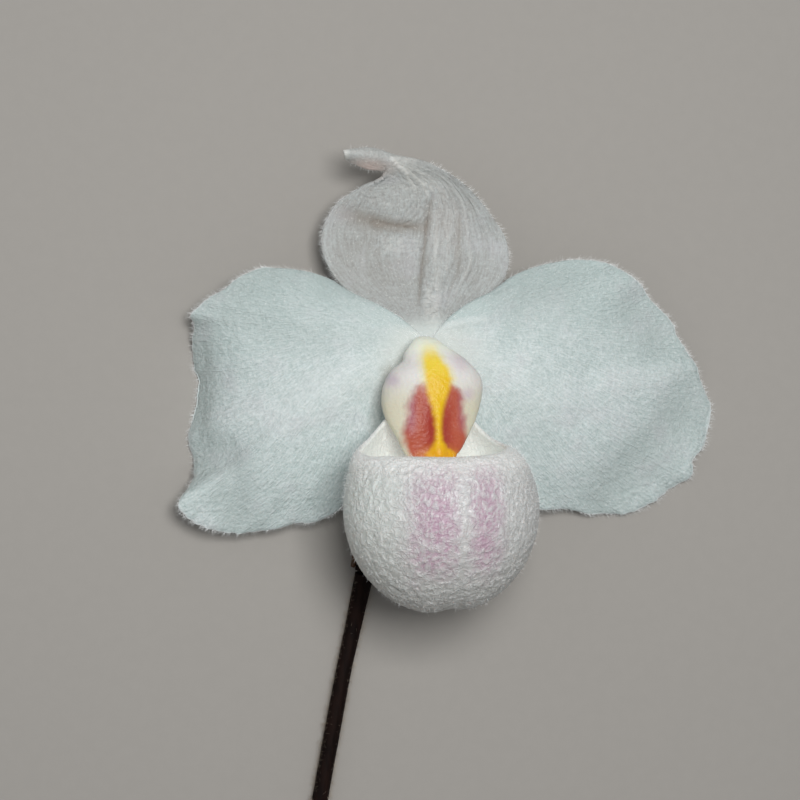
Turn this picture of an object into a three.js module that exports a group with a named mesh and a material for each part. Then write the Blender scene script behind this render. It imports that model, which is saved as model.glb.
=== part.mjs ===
// A cut slipper orchid (paphiopedilum): one white bloom on its stem, lying on its back on a flat surface.
//
// Millimetres. +Z is up, out of the bloom's face; +Y runs from the stem towards the dorsal sepal; +X is the
// right-hand side of the bloom as it is looked at. z = 0 is the surface that the flower lies on, and the frame's
// origin is on that surface, in the middle of the object's box. The organs are modelled from the bloom's own axis,
// the line through the top of the ovary, and the whole flower is then set beside the origin by FLOWER_AT.
//
// From the back to the front: the stem with its bract, the ovary, which ends in a white collar, the two sepals, the
// two petals, the pouch, and the column, which carries a stigma, two anthers and a shield called the staminode.

import * as THREE from "three";
import { mergeVertices } from "three/addons/utils/BufferGeometryUtils.js";

// ---------------------------------------------------------------- driving dimensions

const FLOWER_AT = [-5.74, 36.2]; // where the bloom's axis stands beside the origin

const HUB_RADIUS = 3.4; // the top of the ovary, which every organ grows from
const HUB_TOP = 14.0; // height of its flat top
const SEAT_GAP = 0.45; // clearance between an organ and its seat

const PETAL_BASE_Z = 13.3; // height of a petal's middle surface where it leaves the hub
const PETAL_BASE_THICKNESS = 1.1;
const SEPAL_BASE_THICKNESS = 0.9;
const BLADE_EDGE_THICKNESS = 0.65; // petals and sepals thin out towards the margin
const FRILL_DEPTH = 0.3; // small scallops along a petal's margin
const LEFT_TUCK = 0.8; // how far the left petal's lower edge curls back beside the pouch

const SEPAL_RIDGE = 0.35; // height of the dorsal sepal's lengthwise ridges

const POUCH_CENTRE = [0, -29, 28]; // middle of the pouch at its widest
const POUCH_HALF_WIDTH = 17.2;
const POUCH_HALF_DEPTH = 15;
const POUCH_TOE = 18.3; // from its middle down to the toe
const POUCH_WALL = 1.1;
const POUCH_RIM_WALL = 1.7; // the rim is turned in, so it is thicker
const RIM_OVERHANG = 3.2; // how far the pouch bulges out below its rim
const LEFT_RIM_OVERHANG = 1.6; // less on the left, where the mouth is wider

const STAMINODE_THICKNESS = 1.7;
const STAMINODE_EDGE_THICKNESS = 0.9;

const STEM_RADIUS = 1.45;
const STEM_SIDES = 12;
const STEM_Z = STEM_RADIUS * Math.cos(Math.PI / STEM_SIDES); // one flat side of the stem lies on the surface

// The margin of a petal, from its upper edge round to its lower edge: [x, y, level, roll], with x measured outwards
// from the bloom's axis. The petal arches evenly down from the hub to its level, and near the margin it is rolled
// further back by roll.
const RIGHT_MARGIN = [
  [14.7, 11.4, 11.0, 0.0], [19.9, 13.8, 10.5, 0.0], [25.4, 15.0, 10.0, 0.0], [31.5, 15.0, 9.5, 0.0],
  [36.3, 13.8, 8.5, 0.0], [39.4, 11.6, 7.5, 0.0], [44.1, 7.0, 6.0, 0.0], [47.6, 3.7, 5.0, 0.0],
  [48.5, 0.6, 4.4, -0.2], [51.6, -3.0, 3.3, -0.4], [53.7, -7.3, 2.4, -0.9], [55.7, -11.8, 1.7, -1.4],
  [55.6, -16.7, 1.5, -0.9], [54.2, -19.4, 1.5, -0.4], [51.8, -22.3, 1.7, 0.4], [52.0, -24.4, 1.5, -0.1],
  [49.4, -26.7, 1.4, -0.4], [44.9, -29.3, 1.3, -0.3], [40.0, -31.8, 1.6, 0.0], [34.2, -32.1, 2.3, 0.0],
  [27.3, -30.8, 3.6, 0.0], [22.3, -30.7, 5.0, 0.0], [16.4, -27.9, 7.4, 0.0], [10.3, -21.3, 10.2, 0.0],
];
const LEFT_MARGIN = [
  [16.8, 11.1, 11.0, 0.0], [22.2, 12.9, 10.5, 0.0], [26.8, 13.5, 10.0, 0.0], [30.5, 13.3, 9.5, 0.0],
  [34.4, 11.5, 9.0, 0.0], [38.1, 8.8, 8.5, -0.3], [40.8, 6.5, 8.1, -0.5], [42.5, 5.0, 7.9, -0.9],
  [41.7, 3.4, 7.8, -2.8], [41.9, 0.5, 7.7, -5.4], [41.2, -4.0, 7.6, -7.7], [41.0, -9.5, 7.5, -8.0],
  [41.9, -15.5, 7.6, -7.6], [42.3, -18.9, 7.7, -6.9], [41.5, -22.6, 7.8, -6.2], [41.4, -24.1, 7.8, -4.6],
  [42.6, -26.1, 7.8, -1.8], [44.55, -29.2, 7.8, 0.3], [43.1, -31.6, 7.4, 0.4], [39.1, -33.3, 6.6, 0.3],
  [34.4, -34.7, 5.7, 0.0], [29.2, -34.1, 5.0, 0.0], [24.2, -32.9, 4.8, 0.0], [19.5, -32.6, 5.2, 0.0],
  [15.6, -30.4, 6.6, 0.0], [12.8, -26.2, 8.5, 0.0], [9.9, -21.2, 10.3, 0.0],
];
const RIGHT_BASE_BEARINGS = [50, -58]; // degrees round the hub, from a petal's upper edge to its lower edge
const LEFT_BASE_BEARINGS = [42, -50];

// The dorsal sepal runs between three curves from the hub to its tip, [x, y, z]. Its top leans over to the left and
// curls forwards into a narrow twisted tip.
const DORSAL_LEFT = [
  [-2.3, 3.15, 11.9], [-7.2, 5.4, 10.4], [-13.2, 8.6, 9.4], [-17.5, 13.6, 8.6], [-18.8, 19.0, 8.2],
  [-16.4, 24.7, 8.6], [-12.2, 27.8, 9.2], [-8.2, 29.1, 10.2], [-6.8, 30.8, 11.4], [-10.3, 31.2, 12.2],
  [-15.2, 33.0, 13.4],
];
const DORSAL_MIDDLE = [
  [0.0, 4.0, 11.9], [0.0, 8.0, 10.2], [-0.1, 12.0, 8.8], [0.0, 16.5, 7.8], [0.4, 21.0, 7.6],
  [0.8, 25.4, 8.2], [-0.5, 28.7, 9.6], [-3.8, 31.0, 11.6], [-6.4, 32.2, 13.0], [-10.2, 33.1, 14.2],
  [-15.4, 33.6, 14.8],
];
const DORSAL_RIGHT = [
  [2.3, 3.15, 11.9], [7.0, 5.2, 10.4], [12.0, 8.3, 9.4], [15.4, 13.7, 8.6], [15.1, 18.8, 8.4],
  [12.3, 23.1, 8.9], [7.6, 28.3, 9.8], [1.0, 32.1, 11.4], [-5.5, 33.3, 12.8], [-10.1, 34.6, 13.8],
  [-15.6, 34.2, 14.8],
];

// The synsepal, two sepals grown into one, lies behind the pouch.
const SYNSEPAL_SIDE = [
  [2.2, -3.35, 11.8], [5.6, -8.0, 10.4], [9.0, -15.0, 8.8], [10.2, -22.0, 7.8], [8.8, -29.0, 7.4],
  [5.0, -35.0, 7.6], [0.5, -38.4, 7.9],
];
const SYNSEPAL_MIDDLE = [
  [0, -4.0, 11.8], [0, -8.6, 10.9], [0, -15.4, 9.6], [0, -22.4, 8.7], [0, -29.4, 8.1], [0, -35.4, 7.9],
  [0, -38.6, 8.0],
];

// The rim of the pouch's mouth, from its front round each side to the claw by which it hangs: [x, y, z], with x
// measured outwards. The left side reaches further out, and its shoulder is the higher one.
const RIGHT_RIM = [
  [0.0, -19.5, 37.0], [5.2, -19.3, 36.2], [9.0, -18.9, 33.6], [10.9, -18.2, 29.5], [10.9, -17.7, 25.3],
  [9.4, -16.0, 20.9], [7.2, -12.9, 17.6], [4.6, -9.3, 15.8], [2.0, -6.6, 15.0], [0.0, -5.6, 14.8],
];
const LEFT_RIM = [
  [0.0, -19.5, 37.0], [5.5, -19.4, 36.3], [9.8, -19.4, 34.3], [13.0, -19.5, 31.0], [14.1, -18.7, 27.0],
  [11.6, -16.1, 22.2], [9.0, -13.4, 19.0], [6.6, -10.9, 17.0], [4.4, -8.4, 15.7], [2.0, -6.3, 15.0],
  [0.0, -5.6, 14.8],
];

// The staminode, from its top to its lower end: [y, x of its middle, half width, height of its middle, height of its
// side edges]. Its top is lopsided, with a small lobe on the left.
const STAMINODE_ROWS = [
  [1.2, -1.0, 0.9, 17.9, 17.5], [0.3, -1.1, 2.1, 19.0, 18.0], [-0.7, -1.3, 3.2, 20.0, 18.3],
  [-2.0, 0.1, 5.0, 21.0, 18.2], [-3.6, 0.9, 6.4, 21.8, 18.1], [-5.2, 0.4, 7.5, 22.3, 18.0],
  [-7.2, 0.0, 8.5, 22.7, 18.1], [-9.4, -0.4, 8.6, 23.0, 18.7], [-12.8, -0.75, 7.75, 23.4, 20.2],
  [-16.4, -0.75, 5.9, 24.2, 21.9], [-19.2, -0.95, 4.5, 25.0, 23.6], [-20.8, -0.95, 3.3, 25.4, 24.6],
];

// Centre lines, [x, y, z], with the radius at each of their points.
const OVARY_LINE = [
  [0, 0, HUB_TOP], [0, 0, 11.6], [-0.9, -3.8, 8.0], [-2.8, -12, 6.0], [-5.6, -23, 4.5], [-8.1, -33, 3.7],
  [-10.1, -42, 3.0],
];
const OVARY_RADII = [HUB_RADIUS, 3.2, 2.5, 2.3, 2.3, 2.1, 1.8];
const COLUMN_LINE = [[0, 0, HUB_TOP + 0.3], [0, 0, 15.2], [-0.3, -1.9, 16.7], [0, -4.8, 18.3]];
const COLUMN_RADII = [2.6, 1.9, 1.8, 1.8];
const STIGMA_HALF = [2.4, 1.5, 1.4]; // half of its width, length and height
const ANTHER_HALF = [1.35, 1.7, 1.3];
const COLLAR_END = 0.12; // share of that line which is the white collar between the ovary and the organs
const STEM_LINE = [
  [-10.2, -42.4, 2.9], [-11.3, -48, 2.0], [-12.3, -53, 1.55], [-13.4, -58, STEM_Z], [-16.1, -72, STEM_Z],
  [-19.0, -88, STEM_Z], [-21.2, -101, STEM_Z], [-22.0, -107.1, STEM_Z],
];
const STEM_RADII = [1.75, 1.6, 1.5, STEM_RADIUS, STEM_RADIUS, STEM_RADIUS, STEM_RADIUS, STEM_RADIUS];

// ---------------------------------------------------------------- small mathematics

const lerp = (a, b, t) => a + (b - a) * t;
const clamp01 = (t) => Math.min(1, Math.max(0, t));
const radians = (degrees) => (degrees * Math.PI) / 180;

function smoothstep(from, to, t) {
  const s = clamp01((t - from) / (to - from));
  return s * s * (3 - 2 * s);
}

// A smooth curve through rows of numbers. The first `measured` numbers of a row are its place, and the curve is read
// at a share of its length, from 0 to 1.
function threadThrough(rows, measured = 3) {
  const knots = [0];
  for (let i = 1; i < rows.length; i++) {
    const step = Math.hypot(...rows[i].slice(0, measured).map((value, k) => value - rows[i - 1][k]));
    knots.push(knots[i - 1] + step);
  }
  const last = rows.length - 1;
  const slope = (i, k) => (rows[i + 1][k] - rows[i][k]) / (knots[i + 1] - knots[i]);
  const tangent = (i, k) => {
    if (i === 0) return slope(0, k);
    if (i === last) return slope(last - 1, k);
    const before = knots[i] - knots[i - 1];
    const after = knots[i + 1] - knots[i];
    return (slope(i - 1, k) * after + slope(i, k) * before) / (before + after);
  };
  return (share) => {
    const place = clamp01(share) * knots[last];
    let i = 0;
    while (i < last - 1 && place > knots[i + 1]) i++;
    const span = knots[i + 1] - knots[i];
    const t = (place - knots[i]) / span;
    const t2 = t * t;
    const t3 = t2 * t;
    return rows[i].map(
      (value, k) =>
        value * (2 * t3 - 3 * t2 + 1) +
        tangent(i, k) * span * (t3 - 2 * t2 + t) +
        rows[i + 1][k] * (3 * t2 - 2 * t3) +
        tangent(i + 1, k) * span * (t3 - t2),
    );
  };
}

// ---------------------------------------------------------------- ways to make a closed body

// Keeps only the vertices and faces, with shared vertices merged, collapsed faces dropped and the rest facing out.
function closedBody(geometry) {
  const bare = new THREE.BufferGeometry().setAttribute("position", geometry.getAttribute("position"));
  bare.setIndex(geometry.getIndex());
  const merged = mergeVertices(bare, 1e-3);
  const { array } = merged.getAttribute("position");
  const point = (i) => new THREE.Vector3().fromArray(array, 3 * i);
  const faces = [];
  let volume = 0;
  const index = merged.getIndex().array;
  for (let i = 0; i < index.length; i += 3) {
    const [a, b, c] = index.slice(i, i + 3);
    if (a === b || b === c || c === a) continue;
    faces.push([a, b, c]);
    volume += point(a).dot(point(b).cross(point(c)));
  }
  const outward = volume < 0 ? faces.map(([a, b, c]) => [a, c, b]) : faces;
  merged.setIndex(outward.flat());
  merged.computeVertexNormals();
  return merged;
}

// Moves every vertex of a stock geometry to place(x, y, z).
function reshaped(geometry, place) {
  const position = geometry.getAttribute("position");
  for (let i = 0; i < position.count; i++) {
    position.setXYZ(i, ...place(position.getX(i), position.getY(i), position.getZ(i)));
  }
  return closedBody(geometry);
}

// A thin blade round the middle surface point(u, v), with u and v from 0 to 1. Both faces are split alike. Where it
// lies down it stays on top of the surface, and where it comes down steeply its edge is pressed flat on it.
function blade(uSteps, vSteps, point, thickness) {
  const sheet = new THREE.PlaneGeometry(1, 1, uSteps, vSteps);
  const grid = sheet.getAttribute("position");
  const small = 1e-3;
  const at = (u, v) => new THREE.Vector3(...point(u, v));
  const front = [];
  const back = [];
  for (let i = 0; i < grid.count; i++) {
    const u = grid.getX(i) + 0.5;
    const v = 0.5 - grid.getY(i);
    const along = at(Math.min(1, u + small), v).sub(at(Math.max(0, u - small), v));
    const across = at(u, Math.min(1, v + small)).sub(at(u, Math.max(0, v - small)));
    const normal = along.cross(across).normalize();
    const half = thickness(u, v) / 2;
    const middle = at(u, v);
    const lying = Math.abs(normal.z) > 0.6;
    if (lying) middle.z = Math.max(middle.z, half * Math.abs(normal.z));
    for (const [face, way] of [[front, 1], [back, -1]]) {
      const { x, y, z } = middle.clone().addScaledVector(normal, way * half);
      face.push(x, y, Math.max(0, z));
    }
  }
  const faces = [...sheet.getIndex().array];
  for (let i = 0, count = faces.length; i < count; i += 3) {
    faces.push(faces[i] + grid.count, faces[i + 2] + grid.count, faces[i + 1] + grid.count);
  }
  const row = uSteps + 1;
  const rim = [
    ...Array.from({ length: uSteps }, (_, i) => i),
    ...Array.from({ length: vSteps }, (_, j) => j * row + uSteps),
    ...Array.from({ length: uSteps }, (_, i) => vSteps * row + uSteps - i),
    ...Array.from({ length: vSteps }, (_, j) => (vSteps - j) * row),
  ];
  rim.forEach((a, i) => {
    const b = rim[(i + 1) % rim.length];
    faces.push(a, b, b + grid.count, a, b + grid.count, a + grid.count);
  });
  const body = new THREE.BufferGeometry();
  body.setAttribute("position", new THREE.Float32BufferAttribute([...front, ...back], 3));
  body.setIndex(faces);
  return closedBody(body);
}

// A blade between two side curves and a middle one, from its base (u = 0) to its tip (u = 1). relief lifts it.
function ribBlade(uSteps, vSteps, [left, middle, right], relief, thickness) {
  const [toLeft, toMiddle, toRight] = [left, middle, right].map((rows) => threadThrough(rows));
  const point = (u, v) => {
    const [a, b, c] = [toLeft(u), toMiddle(u), toRight(u)];
    const t = 2 * v - 1; // -1 on the left edge, 1 on the right one
    return a.map((value, k) => {
      const sum = (t * (t - 1) * value) / 2 + (1 - t * t) * b[k] + (t * (t + 1) * c[k]) / 2;
      return k === 2 ? sum + relief(u, t) : sum;
    });
  };
  return blade(uSteps, vSteps, point, thickness);
}

// A tube along a curve, or along the share of it from `from` to `to`, with a radius that follows `radii`.
function tube(line, radii, steps, sides, { from = 0, to = 1, ribs = 0, ribHeight = 0 } = {}) {
  const thread = threadThrough(line.map((point, i) => [...point, radii[i]]));
  const small = 1e-3;
  return reshaped(new THREE.CylinderGeometry(1, 1, 1, sides, steps), (x, y, z) => {
    const share = lerp(from, to, 0.5 - y);
    const [cx, cy, cz, radius] = thread(share);
    const [ax, ay, az] = thread(share - small);
    const [bx, by, bz] = thread(share + small);
    const along = new THREE.Vector3(bx - ax, by - ay, bz - az).normalize();
    const side = new THREE.Vector3(1, 0, 0).addScaledVector(along, -along.x).normalize();
    const up = side.clone().cross(along);
    const turn = Math.atan2(z, x) + Math.PI / sides; // a flat side faces down
    const reach = Math.hypot(x, z) * (radius + ribHeight * Math.cos(ribs * turn));
    const point = new THREE.Vector3(cx, cy, cz);
    point.addScaledVector(side, reach * Math.cos(turn)).addScaledVector(up, reach * Math.sin(turn));
    return [point.x, point.y, Math.max(0, point.z)];
  });
}

// ---------------------------------------------------------------- the organs

// The thickness of a petal or sepal at the share u of its length.
const thinning = (base) => (u) => lerp(base, BLADE_EDGE_THICKNESS, clamp01(1.6 * u));

// Small scallops along a margin, and the waves that go with them, from 0 at the petal's two ends.
function frill(v) {
  const ends = smoothstep(0.0, 0.12, v) * smoothstep(1.0, 0.86, v);
  return ends * (0.6 * Math.sin(2 * Math.PI * (9 * v + 0.1)) + 0.4 * Math.sin(2 * Math.PI * (16 * v + 0.6)));
}

// A petal fans out from the hub. Its veins, the rays of constant v, leave the hub at the base bearings and bend
// towards the margin. Its lower edge may be tucked back.
function petal(side, margin, [topBearing, lowBearing], tuck = 0) {
  const thread = threadThrough(margin, 2);
  const point = (u, v) => {
    const [x, y, level, roll] = thread(v);
    const out = 1 - (1 - u) ** 1.35; // rows of faces crowd towards the margin
    const frilled = FRILL_DEPTH * frill(v);
    const reach = lerp(HUB_RADIUS + SEAT_GAP, Math.hypot(x, y), out) + frilled * out ** 3;
    const leaving = radians(lerp(topBearing, lowBearing, v));
    const bearing = lerp(leaving, Math.atan2(y, x), smoothstep(0, 0.75, out));
    const curl = tuck * clamp01((v - 0.82) / 0.18) ** 2 * smoothstep(0, 0.1, out);
    const height = lerp(PETAL_BASE_Z, level, out ** 1.7) + roll * out ** 9 + frilled * out ** 6 - curl;
    return [side * reach * Math.cos(bearing), reach * Math.sin(bearing), height];
  };
  return blade(10, 60, point, thinning(PETAL_BASE_THICKNESS));
}

// The dorsal sepal has a groove down its middle and a fan of ridges on its right half.
function dorsalSepal() {
  const wave = (t, period, shift = 0) => Math.cos(2 * Math.PI * (t / period + shift));
  const relief = (u, t) => {
    const fade = smoothstep(0.02, 0.12, u) * smoothstep(0.95, 0.7, u);
    const groove = -Math.exp(-((t + 0.1) ** 2) / 0.008);
    const fan = smoothstep(0.02, 0.15, t) * smoothstep(0.9, 0.5, t) * smoothstep(0.08, 0.35, u);
    const ridges = fan * (0.6 * wave(t, 0.27) + 0.4 * wave(t, 0.16, 0.2));
    return SEPAL_RIDGE * fade * (groove + ridges);
  };
  return ribBlade(26, 20, [DORSAL_LEFT, DORSAL_MIDDLE, DORSAL_RIGHT], relief, thinning(SEPAL_BASE_THICKNESS));
}

// The synsepal has a keel, which shows as a shallow groove on its front.
function synsepal() {
  const mirrored = SYNSEPAL_SIDE.map(([x, y, z]) => [-x, y, z]);
  const relief = (u, t) => -0.25 * Math.exp(-(t * t) / 0.01) * smoothstep(0, 0.1, u) * smoothstep(1, 0.85, u);
  return ribBlade(12, 10, [mirrored, SYNSEPAL_MIDDLE, SYNSEPAL_SIDE], relief, thinning(SEPAL_BASE_THICKNESS));
}

// The outside of the pouch: down is 0 at the toe and 1 on the rim, and turn goes round it from the front.
function pouchOutside(rims, down, turn) {
  const [cx, cy, cz] = POUCH_CENTRE;
  const widest = 0.52; // share of the way up at which it is widest
  const sideways = Math.sin(turn);
  const forwards = Math.cos(turn);
  if (down <= widest) {
    const climb = (down / widest) * (Math.PI / 2);
    const dent = 0.9 * Math.exp(-((POUCH_HALF_WIDTH * Math.sin(climb) * sideways - 1.5) ** 2) / 7);
    const toe = POUCH_TOE - dent * Math.cos(climb);
    return new THREE.Vector3(
      cx + POUCH_HALF_WIDTH * Math.sin(climb) * sideways,
      cy - toe * Math.cos(climb),
      cz + POUCH_HALF_DEPTH * Math.sin(climb) * forwards,
    );
  }
  const onLeft = turn < 0;
  const [rx, ry, rz] = (onLeft ? rims.left : rims.right)(Math.abs(turn) / Math.PI);
  const end = new THREE.Vector3(Math.sign(turn) * rx, ry, rz);
  const start = new THREE.Vector3(cx + POUCH_HALF_WIDTH * sideways, cy, cz + POUCH_HALF_DEPTH * forwards);
  const behind = smoothstep(0.2, -0.8, forwards); // 0 in front, 1 at the claw
  const rise = lerp(5.6, 9, behind);
  const bulge = sideways * (onLeft ? LEFT_RIM_OVERHANG : RIM_OVERHANG);
  const overhang = new THREE.Vector3(bulge, 0.5, forwards * 3.4).multiplyScalar(1 - behind);
  const fromBelow = new THREE.Vector3(2.0 * sideways, -6.5, -1.6).multiplyScalar(behind);
  const curve = new THREE.CubicBezierCurve3(
    start,
    start.clone().add(new THREE.Vector3(0, rise, 0)),
    end.clone().add(overhang).add(fromBelow),
    end,
  );
  return curve.getPoint((down - widest) / (1 - widest));
}

// The pouch is a ball pressed to shape: its lower half is the outside and its upper half, turned in, the inside.
function pouch() {
  const rims = { left: threadThrough(LEFT_RIM), right: threadThrough(RIGHT_RIM) };
  const small = 2e-3;
  const rings = 28;
  const place = (x, y, z) => {
    const latitude = Math.acos(Math.min(1, Math.max(-1, -y))) / Math.PI; // 0 at the outer pole, 1 at the inner one
    const turn = Math.hypot(x, z) < 1e-6 ? 0 : Math.atan2(x, z);
    const share = latitude * rings;
    const outerRings = 16;
    const inside = share > outerRings + 0.5;
    const ring = inside ? (rings - share) / (rings - outerRings - 1) : share / outerRings;
    const down = Math.min(1, Math.max(1e-4, ring));
    const at = (d, t) => pouchOutside(rims, Math.min(1, d), t);
    const along = at(down, turn).sub(at(down - small, turn));
    const round = at(down, turn + small).sub(at(down, turn - small));
    const inward = along.cross(round).normalize();
    const middle = new THREE.Vector3(...POUCH_CENTRE);
    if (inward.dot(middle.sub(at(down, turn))) < 0) inward.negate();
    if (latitude === 0 || latitude === 1) inward.set(0, 1, 0);
    const wall = lerp(POUCH_WALL, POUCH_RIM_WALL, smoothstep(0.86, 1, down));
    const point = at(down, turn);
    if (inside) point.addScaledVector(inward, wall);
    return point.toArray();
  };
  return reshaped(new THREE.SphereGeometry(1, 36, rings), place);
}

// The staminode arches over the column like a shield.
function staminode() {
  const thread = threadThrough(STAMINODE_ROWS, 1);
  const point = (u, v) => {
    const [y, middleX, half, middle, edge] = thread(u);
    const across = (2 * v - 1) * (Math.PI / 2);
    return [middleX + half * Math.sin(across), y, lerp(edge, middle, Math.cos(across))];
  };
  const thickness = (u, v) => {
    const arch = Math.sin(Math.PI * v) * Math.sin(Math.PI * clamp01(0.06 + 0.88 * u));
    return lerp(STAMINODE_EDGE_THICKNESS, STAMINODE_THICKNESS, Math.sqrt(arch));
  };
  return blade(20, 18, point, thickness);
}

function column() {
  return tube(COLUMN_LINE, COLUMN_RADII, 8, 16);
}

// A small rounded body with the given half sizes.
function bead([x, y, z], [halfX, halfY, halfZ]) {
  return reshaped(new THREE.SphereGeometry(1, 12, 8), (px, py, pz) => [
    x + halfX * px,
    y + halfY * py,
    z + halfZ * pz,
  ]);
}

// The bract is half a sheath, wrapped round the foot of the ovary from below.
function bract() {
  const thread = threadThrough(OVARY_LINE.map((point, i) => [...point, OVARY_RADII[i]]));
  const [foot, tip] = [0.99, 0.68]; // shares of the ovary's length
  const small = 1e-3;
  const point = (u, v) => {
    const share = lerp(foot, tip, u);
    const [cx, cy, cz, radius] = thread(share);
    const [ax, ay, az] = thread(share - small);
    const along = new THREE.Vector3(cx - ax, cy - ay, cz - az).normalize();
    const side = new THREE.Vector3(1, 0, 0).addScaledVector(along, -along.x).normalize();
    const up = along.clone().cross(side);
    const wrap = lerp(radians(112), radians(9), u ** 1.6); // half of the angle that it goes round
    const turn = -Math.PI / 2 + (2 * v - 1) * wrap;
    const reach = radius + 0.75 + 0.35 * u;
    return new THREE.Vector3(cx, cy, cz)
      .addScaledVector(side, reach * Math.cos(turn))
      .addScaledVector(up, reach * Math.sin(turn))
      .toArray();
  };
  return blade(10, 12, point, () => 0.6);
}

// ---------------------------------------------------------------- the flower

const WHITE = { color: 0xdfe6e3, roughness: 0.6, metalness: 0 };
const PINKISH_WHITE = { color: 0xd8d6d6, roughness: 0.6, metalness: 0 };
const BLUSH = { color: 0xe2d6dc, roughness: 0.5, metalness: 0 };
const CREAM = { color: 0xe9e6d0, roughness: 0.5, metalness: 0 };
const YELLOW = { color: 0xe8b21c, roughness: 0.4, metalness: 0 };
const DARK_GREEN = { color: 0x3a2a22, roughness: 0.7, metalness: 0 };
const OLIVE = { color: 0x5a4a2c, roughness: 0.7, metalness: 0 };

const OVARY_CUT = { from: COLLAR_END + 0.01, ribs: 6, ribHeight: 0.12 };

const ORGANS = [
  ["stem", tube(STEM_LINE, STEM_RADII, 18, STEM_SIDES), DARK_GREEN],
  ["bract", bract(), OLIVE],
  ["ovary", tube(OVARY_LINE, OVARY_RADII, 14, 18, OVARY_CUT), DARK_GREEN],
  ["collar", tube(OVARY_LINE, OVARY_RADII, 5, 18, { to: COLLAR_END }), WHITE],
  ["dorsal_sepal", dorsalSepal(), PINKISH_WHITE],
  ["synsepal", synsepal(), WHITE],
  ["petal_left", petal(-1, LEFT_MARGIN, LEFT_BASE_BEARINGS, LEFT_TUCK), WHITE],
  ["petal_right", petal(1, RIGHT_MARGIN, RIGHT_BASE_BEARINGS), WHITE],
  ["pouch", pouch(), BLUSH],
  ["column", column(), CREAM],
  ["stigma", bead([0, -7.1, 18.1], STIGMA_HALF), CREAM],
  ["anther_left", bead([-3.65, -4.2, 16.9], ANTHER_HALF), YELLOW],
  ["anther_right", bead([3.55, -4.2, 16.9], ANTHER_HALF), YELLOW],
  ["staminode", staminode(), YELLOW],
];

const flower = new THREE.Group();
flower.position.set(...FLOWER_AT, 0);
for (const [name, geometry, finish] of ORGANS) {
  const mesh = new THREE.Mesh(geometry, new THREE.MeshStandardMaterial(finish));
  mesh.name = name;
  flower.add(mesh);
}

export default flower;
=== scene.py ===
# %% [markdown]
# # A slipper orchid, cut and laid on its back
#
# A paphiopedilum, or slipper orchid, has three sepals and three petals like any orchid, but two of the
# sepals have grown into one, and the lowest petal has become a hollow pouch. This lesson dresses one
# such flower. Its solids are already packed as a fixed frame: every organ is there as a plain faceted
# body, at its real size and in its place. The script grows the fine surface over them: veins, wrinkles,
# frilled margins, colour and thousands of short hairs.
#
# First the frame is loaded. The dressed flower may hardly outgrow it.

# %% Load the frame
import math

import bmesh
import bpy
import numpy as np
from mathutils import Matrix, Vector, noise


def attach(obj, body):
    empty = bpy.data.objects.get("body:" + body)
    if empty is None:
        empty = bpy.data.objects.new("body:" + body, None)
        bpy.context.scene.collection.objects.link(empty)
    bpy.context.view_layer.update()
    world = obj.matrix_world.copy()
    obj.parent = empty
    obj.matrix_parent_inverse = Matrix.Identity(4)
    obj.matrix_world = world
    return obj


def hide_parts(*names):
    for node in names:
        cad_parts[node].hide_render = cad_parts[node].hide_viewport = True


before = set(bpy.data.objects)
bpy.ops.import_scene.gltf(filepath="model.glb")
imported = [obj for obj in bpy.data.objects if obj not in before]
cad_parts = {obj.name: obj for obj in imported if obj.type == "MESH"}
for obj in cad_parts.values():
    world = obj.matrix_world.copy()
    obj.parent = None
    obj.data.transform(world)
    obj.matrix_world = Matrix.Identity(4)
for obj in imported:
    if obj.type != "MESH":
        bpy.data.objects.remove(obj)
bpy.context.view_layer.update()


print("nodes:", ", ".join(sorted(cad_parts)))

# %% [markdown]
# ## Where things are
#
# A botanist measures a flower from its own axis, so every size below is in millimetres from the line
# through the top of the ovary, with z counted from the surface that the flower lies on. One helper
# turns such points into Blender's metres in the shared frame. The pieces keep their objects at the
# origin, and their place is in their meshes.

# %% Millimetres from the flower's axis
MM = 0.001
FLOWER_AT = np.array([-5.74, 36.2, 0.0])
HUB_HEIGHT = 13.0


def in_frame(points):
    """Points in millimetres from the flower's axis, as metres in the frame."""
    return (np.asarray(points, float) + FLOWER_AT) * MM


print("the flower's axis stands at", in_frame([0, 0, HUB_HEIGHT]).round(4))

# %% [markdown]
# ## Curves through measured points
#
# Organs have no straight lines, so each outline is a short table of measured points with a smooth curve
# through them. Blender has curve objects for that, but here the same curve has to be read thousands of
# times, at any share of its length and for any columns of the table, such as a radius. A cubic Hermite
# curve does it in a few lines of numpy: at each point its slope is a mean of the slopes of the two
# spans that meet there.


# %% A smooth curve through rows of numbers
def thread(rows, place_columns=3):
    """A curve through rows, read at shares of its length from 0 to 1. The first columns give the place."""
    rows = np.array(rows, float)
    gaps = np.linalg.norm(np.diff(rows[:, :place_columns], axis=0), axis=1)
    knots = np.concatenate([[0], np.cumsum(gaps)])
    slopes = np.diff(rows, axis=0) / gaps[:, None]
    before, after = gaps[:-1, None], gaps[1:, None]
    middle = (slopes[:-1] * after + slopes[1:] * before) / (before + after)
    tangents = np.vstack([slopes[:1], middle, slopes[-1:]])

    def read(share):
        place = np.clip(share, 0, 1) * knots[-1]
        i = np.clip(np.searchsorted(knots, place, side="right") - 1, 0, len(gaps) - 1)
        span = gaps[i][..., None]
        t = (place - knots[i])[..., None] / span
        return (
            rows[i] * (2 * t**3 - 3 * t**2 + 1)
            + tangents[i] * span * (t**3 - 2 * t**2 + t)
            + rows[i + 1] * (3 * t**2 - 2 * t**3)
            + tangents[i + 1] * span * (t**3 - t**2)
        )

    return read


def lerp(a, b, t):
    return a + (b - a) * t


def smoothstep(start, end, t):
    s = np.clip((t - start) / (end - start), 0, 1)
    return s * s * (3 - 2 * s)


def unit(vectors):
    return vectors / np.maximum(np.linalg.norm(vectors, axis=-1, keepdims=True), 1e-12)


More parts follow.
